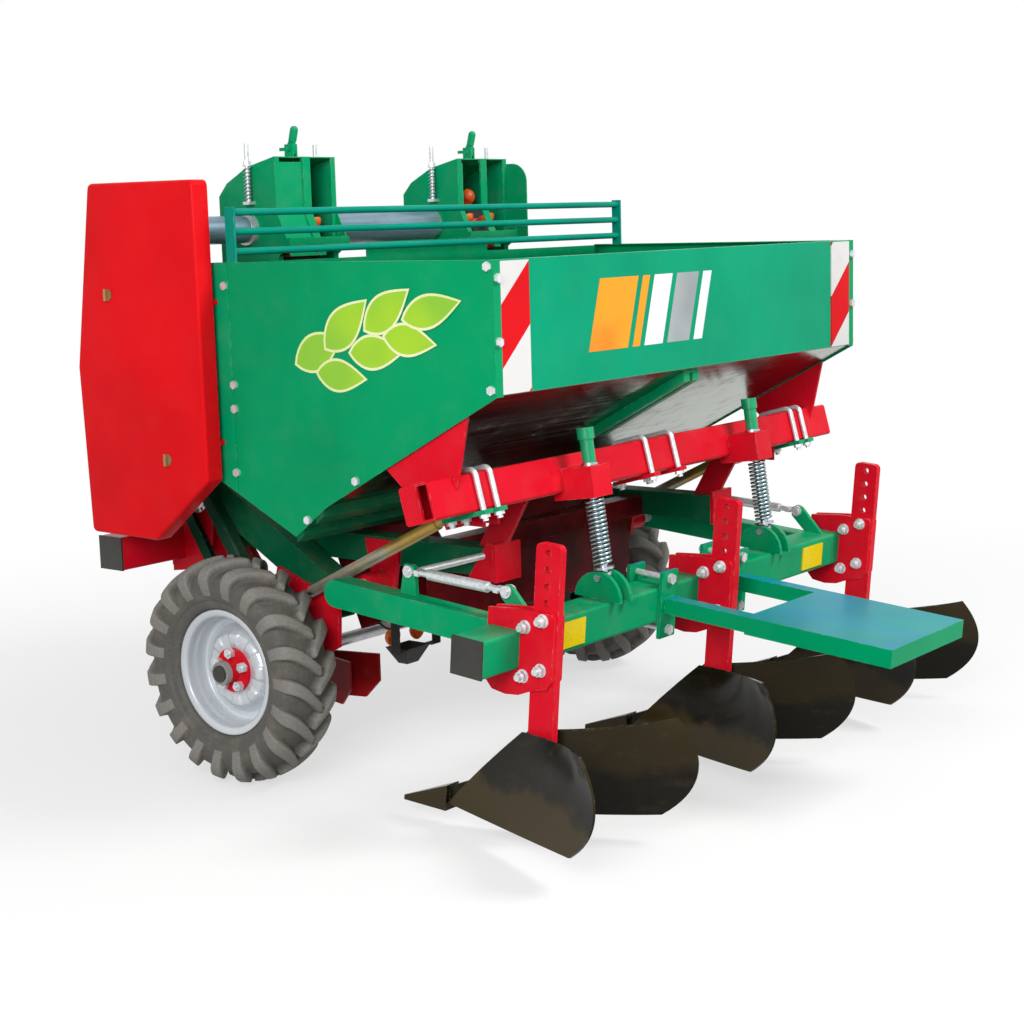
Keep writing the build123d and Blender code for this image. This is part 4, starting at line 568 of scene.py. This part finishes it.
def lug_cover(across, turn, side):
    """1 on the lugs of one side of the tread, 0 off them."""
    inward = (across * side + tyre_half) / (tyre_half + lug_past_middle)
    sweep = np.clip(inward, 0, 1.2) ** 1.4 * lug_sweep - lug_lead
    half_width = np.interp(inward, *lug_half_widths)
    pitch = 2 * pi / lugs_each_side
    shift = 0 if side > 0 else pitch / 2
    off_centre = (turn - shift - sweep / tread_radius + pitch / 2) % pitch - pitch / 2
    edge = soft_step(half_width - np.abs(off_centre) * tread_radius, lug_side_softness)
    return edge * soft_step(lug_end - across * side, lug_end_softness)


def land_tyre(side):
    """One tyre, whose lugs run from the sidewall over the shoulder and sweep to the middle."""
    half = smooth_path(tyre_outline, count=50)
    section = np.vstack([half, half[-2::-1] * (-1, 1)])
    rounds = 720
    turn = np.linspace(0, 2 * pi, rounds, endpoint=False)[:, None]
    across, radius = section[:, 0][None, :], section[:, 1][None, :]
    slope = np.gradient(section, axis=0)
    normal = np.stack([-slope[:, 1], slope[:, 0]], 1)
    normal /= np.linalg.norm(normal, axis=1)[:, None]
    cover = np.maximum(lug_cover(across, turn, 1), lug_cover(across, turn, -1))
    height = cover * np.interp(radius, *zip(*lug_rise))
    bead = np.array([bead_half, 0.0, -bead_half])
    x = np.hstack([across + normal[:, 0] * height, np.tile(bead, (rounds, 1))])
    outward = np.minimum(radius + normal[:, 1] * height, tread_limit)
    r = np.hstack([outward, np.full((rounds, len(bead)), bead_radius)])
    # Mask of the lug tops for the painted highlight
    rubbed = np.hstack([cover * (radius > lug_highlight_from), np.zeros((rounds, len(bead)))])
    return turned(x, r, side) + (rubbed.ravel(),)


def disc_rim(side):
    """One rim with a rolled edge, a drop centre and ribs pressed in its disc."""
    section = np.array(rim_section)
    sides = zip(section, np.roll(section, -1, axis=0))
    fine = np.vstack([np.linspace(a, b, 4, endpoint=False) for a, b in sides])
    rounds = 240
    turn = np.linspace(0, 2 * pi, rounds, endpoint=False)[:, None]
    across, radius = fine[:, 0][None, :], fine[:, 1][None, :]
    on_face = soft_step(radius - rib_inner_radius, width=5) * soft_step(rib_outer_radius - radius, width=8)
    rib = soft_step(np.cos(rim_ribs * turn) - 0.1, width=0.45) * on_face
    return turned(across + rib * rib_height, radius + 0 * turn, side)


def mesh_piece(name, points, faces, material, body, smooth=True):
    """A piece from its points and faces, which moves with a body."""
    mesh = bpy.data.meshes.new(name)
    mesh.from_pydata([tuple(p) for p in points], [], [tuple(int(i) for i in f) for f in faces])
    solid = bmesh.new()
    solid.from_mesh(mesh)
    bmesh.ops.recalc_face_normals(solid, faces=solid.faces)
    solid.to_mesh(mesh)
    solid.free()
    for face in mesh.polygons:
        face.use_smooth = smooth
    mesh.materials.append(material)
    piece = bpy.data.objects.new(name, mesh)
    scene.collection.objects.link(piece)
    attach(piece, body)
    return piece


def both_sides(name, left, right, material, body):
    """One piece from the points and faces of its left and right halves."""
    points = np.vstack([left[0], right[0]])
    faces = list(left[1]) + [[i + len(left[0]) for i in face] for face in right[1]]
    return mesh_piece(name, points, faces, material, body)


def make_wheels():
    """Both tyres in one piece and both rims in another."""
    *left, left_highlight = land_tyre(-1)
    *right, right_highlight = land_tyre(1)
    tyres = both_sides("land_tyres", left, right, tyre_rubber, "axle")
    tops = tyres.data.attributes.new("lug_highlight", "FLOAT", "POINT")
    tops.data.foreach_set("value", np.hstack([left_highlight, right_highlight]))
    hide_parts("tyres")
    rims = both_sides("disc_rims", disc_rim(-1), disc_rim(1), silver, "axle")
    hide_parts("rims")


make_wheels()


# Flat pieces on the hopper: folded strips and a sprig of leaves on the sides, slanted bands on the rear
strip_thickness, strip_gap = 0.002, 0.0001
strip_outline = [(0.454, 0.801), (0.454, 1.345), (0.396, 1.345), (0.396, 0.774)]
film_thickness, film_gap, film_spacing = 0.0002, 0.0002, 1.5
sprig_front_y, sprig_low_z = 0.19, 1.07
sprig = [(0.02, 0.035, 0.16, 0.04, 24), (0.09, 0.015, 0.15, 0.034, -4), (0.12, 0.075, 0.17, 0.042, 40),
         (0.20, 0.065, 0.16, 0.036, 2), (0.25, 0.12, 0.16, 0.038, 34), (0.31, 0.105, 0.15, 0.033, -6),
         (0.37, 0.145, 0.17, 0.034, 14)]
leaf_edge = 0.008
panel_low_z = 1.09
band_low, band_height, band_slant = 0.03, 0.17, 0.05


def flat_piece(name, outlines, to_place, material, body, thickness):
    """Flat shapes with a little thickness. to_place turns a point of the shape and a height into a place."""
    points, faces = [], []
    for outline in outlines:
        first, n = len(points), len(outline)
        points += [to_place(u, v, 0.0) for u, v in outline] + [to_place(u, v, thickness) for u, v in outline]
        faces.append([first + i for i in range(n)][::-1])
        faces.append([first + n + i for i in range(n)])
        faces += [[first + i, first + (i + 1) % n, first + n + (i + 1) % n, first + n + i] for i in range(n)]
    return mesh_piece(name, points, faces, material, body, smooth=False)


def leaf(u, v, length, width, angle, steps=14):
    """A pointed leaf whose stalk end is at u and v."""
    upper = [(length * t / steps, width * sin(pi * (t / steps) ** 0.8)) for t in range(steps + 1)]
    lower = [(a, -b) for a, b in upper[-2:0:-1]]
    c, s = cos(radians(angle)), sin(radians(angle))
    return [(u + a * c - b * s, v + a * s + b * c) for a, b in upper + lower]


def band(u, width):
    """A slanted bar whose lower left corner is at u."""
    top, lean = band_low + band_height, u + band_slant
    return [(u, band_low), (u + width, band_low), (lean + width, top), (lean, top)]


def on_left_side(u, v, h):
    """u runs back from the decal's front edge, v up."""
    return (hopper_side_x - film_gap - h, sprig_front_y - u, sprig_low_z + v)


def raised(layer):
    """A place on the left side, one film above another."""
    return lambda u, v, h: on_left_side(u, v, h + layer * film_spacing * film_thickness)


def on_rear_panel(u, v, h):
    """u runs right from the panel's middle, v up."""
    return (u, rear_panel_y - film_gap - h, panel_low_z + v)


def on_front_edge(way):
    """A place on the left side for -1 or the right side for 1, from its Y and Z."""
    return lambda y, z, h: (way * (strip_gap - hopper_side_x + h), y, z)


def film(name, light, dark, gloss=0.35):
    """Printed film with a gentle change of tone."""
    material, tree, shader = blank(name)
    where = place(tree)
    tone = ramp(tree, speckle(tree, where, 3.5, 2.0), 0.35, 0.65)
    tree.links.new(blend(tree, tone, light, dark), shader.inputs["Base Color"])
    tree.links.new(ramp(tree, speckle(tree, where, 40.0), 0.3, 0.7, gloss - 0.05, gloss + 0.05),
                   shader.inputs["Roughness"])
    fix(shader, {"Specular IOR Level": 0.25})
    return material


lime_film = film("lime_film", shade("A9D62F"), shade("8CC63A"))
pale_film = film("pale_film", shade("F0F3C4"), shade("E3EBA6"))
orange_film = film("orange_film", shade("F7A11B"), shade("F2841A"))
grey_film = film("grey_film", shade("AEB4B5"), shade("939A9C"))
white_film = film("white_film", shade("F1F3F3"), shade("E6EAEA"))

for name, way in (("left_side_strip", -1), ("right_side_strip", 1)):
    strip = flat_piece(name, [strip_outline], on_front_edge(way), paint_frame, "chassis", strip_thickness)
for layer, (u, v, length, width, angle) in enumerate(sprig):
    back = radians(angle)
    outline = leaf(u - leaf_edge * cos(back), v - leaf_edge * sin(back), length + 2.2 * leaf_edge,
                   width + 0.8 * leaf_edge, angle)
    flat_piece(f"leaf_edge_{layer}", [outline], raised(2 * layer), pale_film, "chassis", film_thickness)
    flat_piece(f"leaf_{layer}", [leaf(u, v, length, width, angle)], raised(2 * layer + 1), lime_film,
               "chassis", film_thickness)

rear_bands = [("rear_orange_bands", orange_film, [(-0.47, 0.16), (-0.29, 0.03)]),
              ("rear_grey_bands", grey_film, [(-0.14, 0.1)]),
              ("rear_white_bands", white_film, [(-0.24, 0.08), (-0.02, 0.04)])]
for name, material, bars in rear_bands:
    outlines = [band(u, width) for u, width in bars]
    flat_piece(name, outlines, on_rear_panel, material, "chassis", film_thickness)


# Drive guard: a pressed cover with rounded corners and edges
guard_corners = [(0.826, 1.552), (0.430, 1.550), (0.430, 0.808), (0.637, 0.643), (0.889, 0.646),
                 (0.906, 1.082)]
guard_outer, guard_inner, guard_wall = -0.895, -0.845, 0.002
guard_corner_radius, guard_least_radius, guard_edge_radius = 0.016, 0.003, 0.009
guard_edge_steps, guard_sharp_angle = 6, radians(40)
latch_places = [(0.767, 1.270), (0.572, 0.856)]
latch_hole = 0.0063


def guard_loop(inset, steps=6):
    """The guard's outline drawn inwards, its corners rounded, as points in Y and Z."""
    corners = [Vector(p) for p in guard_corners]
    count = len(corners)
    middle = sum(corners, Vector((0, 0))) / count
    lines = []
    for a, b in zip(corners, corners[1:] + corners[:1]):
        along = (b - a).normalized()
        inward = Vector((-along.y, along.x))
        if inward.dot(middle - a) < 0:
            inward = -inward
        lines.append((a + inward * inset, along))
    out = []
    radius = max(guard_corner_radius - inset, guard_least_radius)
    for i in range(count):
        (p, d), (q, e) = lines[i - 1], lines[i]
        corner = p + d * ((q - p).cross(e) / d.cross(e))
        half_turn = (pi - (-d).angle(e)) / 2
        reach = radius * sin(half_turn) / cos(half_turn)
        start, end = corner - d * reach, corner + e * reach
        centre = corner + (e - d).normalized() * (radius / cos(half_turn))
        for k in range(steps + 1):
            spoke = (start - centre).lerp(end - centre, k / steps).normalized()
            out.append(centre + spoke * radius)
    return out


def latch_loop(y, z, steps=20):
    """A round hole for a latch."""
    return [Vector((y + latch_hole * cos(2 * pi * k / steps),
                    z + latch_hole * sin(2 * pi * k / steps))) for k in range(steps)]


def make_guard_cover():
    """Side walls, rolled edges and a face with its two latch holes, all in one sheet."""
    shell = bmesh.new()

    def ring(loop, x):
        return [shell.verts.new((x, p.x, p.y)) for p in loop]

    def bridge(first, second):
        for i in range(len(first)):
            k = (i + 1) % len(first)
            shell.faces.new((first[i], first[k], second[k], second[i]))

    def face(loops, rings):
        flat = [v for loop in rings for v in loop]
        for triangle in tessellate_polygon([[p.to_3d() for p in loop] for loop in loops]):
            shell.faces.new([flat[i] for i in triangle])

    def skin(inset, front):
        roll = guard_edge_radius - inset
        rings = [ring(guard_loop(inset), guard_inner)]
        for k in range(guard_edge_steps + 1):
            angle = pi / 2 * k / guard_edge_steps
            rings.append(ring(guard_loop(inset + roll * (1 - cos(angle))), front + roll * (1 - sin(angle))))
        for a, b in zip(rings, rings[1:]):
            bridge(a, b)
        holes = [latch_loop(y, z) for y, z in latch_places]
        hole_rings = [ring(hole, front) for hole in holes]
        face([guard_loop(inset + roll)] + holes, [rings[-1]] + hole_rings)
        return rings[0], hole_rings

    outer_edge, outer_holes = skin(0.0, guard_outer)
    inner_edge, inner_holes = skin(guard_wall, guard_outer + guard_wall)
    bridge(outer_edge, inner_edge)
    for a, b in zip(outer_holes, inner_holes):
        bridge(a, b)
    bmesh.ops.recalc_face_normals(shell, faces=shell.faces)
    mesh = bpy.data.meshes.new("drive_guard")
    shell.to_mesh(mesh)
    shell.free()
    for polygon in mesh.polygons:
        polygon.use_smooth = True
    mesh.set_sharp_from_angle(angle=guard_sharp_angle)
    mesh.materials.append(paint_guard)
    piece = bpy.data.objects.new("drive_guard", mesh)
    scene.collection.objects.link(piece)
    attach(piece, "chassis")
    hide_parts("guard_cover")


make_guard_cover()


# Sheet case round the wheel drive chain
layshaft_y, layshaft_z = 0.760, 0.720


def make_chain_case(wall=0.003, radius=0.066, outer=-0.660, inner=-0.628, edge=0.004, slot=0.03):
    """A folded case, open towards the arm, with a long slot where the two shafts pass."""
    low, high = Vector((axle_y, axle_z)), Vector((layshaft_y, layshaft_z))
    along = (high - low).normalized()
    side = Vector((-along.y, along.x))
    steps = 20

    def loop(r, x):
        """A long round outline in the chain's plane."""
        out = []
        for centre, start in ((high, -pi / 2), (low, pi / 2)):
            for i in range(steps + 1):
                a = start + pi * i / steps
                out.append(centre + along * (r * cos(a)) + side * (r * sin(a)))
        return [(x, p.x, p.y) for p in out]

    rings = [loop(radius - wall, inner), loop(radius, inner), loop(radius, outer + edge),
             loop(radius - edge, outer), loop(slot, outer), loop(slot, outer + wall),
             loop(radius - wall, outer + wall)]
    n = len(rings[0])
    points = [p for ring in rings for p in ring]
    faces = []
    for k in range(len(rings)):
        a, b = k * n, (k + 1) % len(rings) * n
        faces += [(a + i, a + (i + 1) % n, b + (i + 1) % n, b + i) for i in range(n)]
    piece = mesh_piece("chain_case", points, faces, paint_case, "wheel_carriage", smooth=False)


make_chain_case()

# Ridger springs: coils on the leaning rods; on the machine they are squeezed as the ridger frame lifts
rod_x, rod_pivot_y, rod_pivot_z, rod_lean = 0.381, -0.4087, 0.5666, radians(8)
coil_start, coil_length, coil_radius, coil_wire, coil_turns = 0.024, 0.172, 0.020, 0.0042, 16


def coil(x, around=28, section=10):
    """One spring on its leaning rod: rings of points along the wire, and the faces between them."""
    slope = coil_length / coil_turns / (2 * pi * coil_radius)
    dip = 2 * coil_wire * slope
    rise = coil_length - 2 * coil_wire - 2 * dip
    lean = Matrix.Rotation(-rod_lean, 4, "X")
    stand = Matrix.Translation((x, rod_pivot_y, rod_pivot_z)) @ lean @ Matrix.Translation((0, 0, coil_start))
    points, faces = [], []
    steps = coil_turns * around
    for i in range(steps + 1):
        turn = 2 * pi * i / around
        outward = Vector((cos(turn), sin(turn), 0))
        along = Vector((-sin(turn), cos(turn), slope)).normalized()
        upward = along.cross(outward)
        middle = outward * coil_radius + Vector((0, 0, coil_wire + dip + rise * i / steps))
        for k in range(section):
            angle = 2 * pi * k / section
            spoke = outward * (coil_wire * cos(angle)) + upward * (coil_wire * sin(angle))
            points.append(stand @ (middle + spoke))
    for i in range(steps):
        a, b = i * section, (i + 1) * section
        faces += [(a + k, a + (k + 1) % section, b + (k + 1) % section, b + k) for k in range(section)]
    faces += [tuple(range(section)), tuple(range(steps * section, (steps + 1) * section))]
    return points, faces


def make_coils():
    """Both springs in one piece, which moves with the spring rods."""
    coils = both_sides("ridger_coils", coil(-rod_x), coil(rod_x), spring_steel, "spring_rod_body")
    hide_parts("ridger_springs")
    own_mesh(coils)


make_coils()

# Camera at the photograph's place
camera_place = Vector((-3.97878, -2.99480, 1.43742))
camera_yaw, camera_pitch, camera_roll = radians(51.4224), radians(9.0615), radians(-1.5932)
focal_length = 64.917

ahead = Vector((sin(camera_yaw) * cos(camera_pitch), cos(camera_yaw) * cos(camera_pitch), -sin(camera_pitch)))
level = Vector((cos(camera_yaw), -sin(camera_yaw), 0))
above = level.cross(ahead)
right = level * cos(camera_roll) + above * sin(camera_roll)
up = above * cos(camera_roll) - level * sin(camera_roll)
lens = bpy.data.cameras.new("camera")
lens.lens = focal_length
lens.sensor_width = 36
lens.clip_end = 60
camera = bpy.data.objects.new("camera", lens)
turn = Matrix((right, up, -ahead)).transposed().to_4x4()
camera.matrix_world = Matrix.Translation(camera_place) @ turn
scene.collection.objects.link(camera)
scene.camera = camera


# Studio: white surroundings, a pale floor and soft lamps
def seen_directly(tree):
    """1 where a camera, mirror or see-through ray looks, 0 where light only bounces."""
    path = put(tree, "ShaderNodeLightPath").outputs
    seen = sum_up(tree, "MAXIMUM", path["Is Camera Ray"], path["Is Glossy Ray"])
    return sum_up(tree, "MAXIMUM", seen, path["Is Transmission Ray"])


def make_world(bounce_level):
    """White to look at, and a plain soft level of light."""
    world = bpy.data.worlds.new("studio")
    world.use_nodes = True
    tree = world.node_tree
    background = tree.nodes["Background"]
    background.inputs["Color"].default_value = (1, 1, 1, 1)
    tree.links.new(ramp(tree, seen_directly(tree), 0.0, 1.0, bounce_level, 1.0),
                   background.inputs["Strength"])
    return world


def make_floor(half_size, white_share, fade_from, fade_to):
    """A pale floor that keeps the shadow and fades into the white surroundings."""
    mesh = bpy.data.meshes.new("floor")
    corners = [(x * half_size, y * half_size, 0) for x, y in ((-1, -1), (1, -1), (1, 1), (-1, 1))]
    mesh.from_pydata(corners, [], [(0, 1, 2, 3)])
    floor = bpy.data.objects.new("floor", mesh)
    scene.collection.objects.link(floor)
    material, tree, shader = blank("floor_white")
    bounce_grey, seen_white = (0.42, 0.42, 0.42, 1), (0.92, 0.92, 0.92, 1)
    tree.links.new(blend(tree, seen_directly(tree), bounce_grey, seen_white), shader.inputs["Base Color"])
    fix(shader, {"Roughness": 0.9})
    glow = put(tree, "ShaderNodeEmission", {"Color": (1, 1, 1, 1), "Strength": 1.0})
    spot = put(tree, "ShaderNodeVectorMath", {0: place(tree)}, operation="LENGTH").outputs["Value"]
    fade = ramp(tree, spot, fade_from, fade_to, white_share, 1.0)
    share = sum_up(tree, "MULTIPLY", seen_directly(tree), fade)
    both = put(tree, "ShaderNodeMixShader", {0: share, 1: shader.outputs[0], 2: glow.outputs[0]})
    tree.links.new(both.outputs[0], tree.nodes["Material Output"].inputs["Surface"])
    mesh.materials.append(material)


def lamp(name, where, target, size, power):
    """A square soft lamp that points at a place."""
    light = bpy.data.lights.new(name, "AREA")
    light.shape = "SQUARE"
    light.size = size
    light.energy = power
    holder = bpy.data.objects.new(name, light)
    direction = Vector(target) - Vector(where)
    holder.matrix_world = Matrix.Translation(where) @ direction.to_track_quat("-Z", "Y").to_matrix().to_4x4()
    scene.collection.objects.link(holder)


scene.world = make_world(bounce_level=0.42)
make_floor(half_size=30.0, white_share=0.62, fade_from=1.2, fade_to=4.2)
lamp("key_lamp", where=(1.5, -4.6, 5.4), target=(0, -0.2, 0.7), size=2.0, power=300.0)
lamp("fill_lamp", where=(-5.4, -2.6, 2.9), target=(0, 0, 0.8), size=2.6, power=228.0)
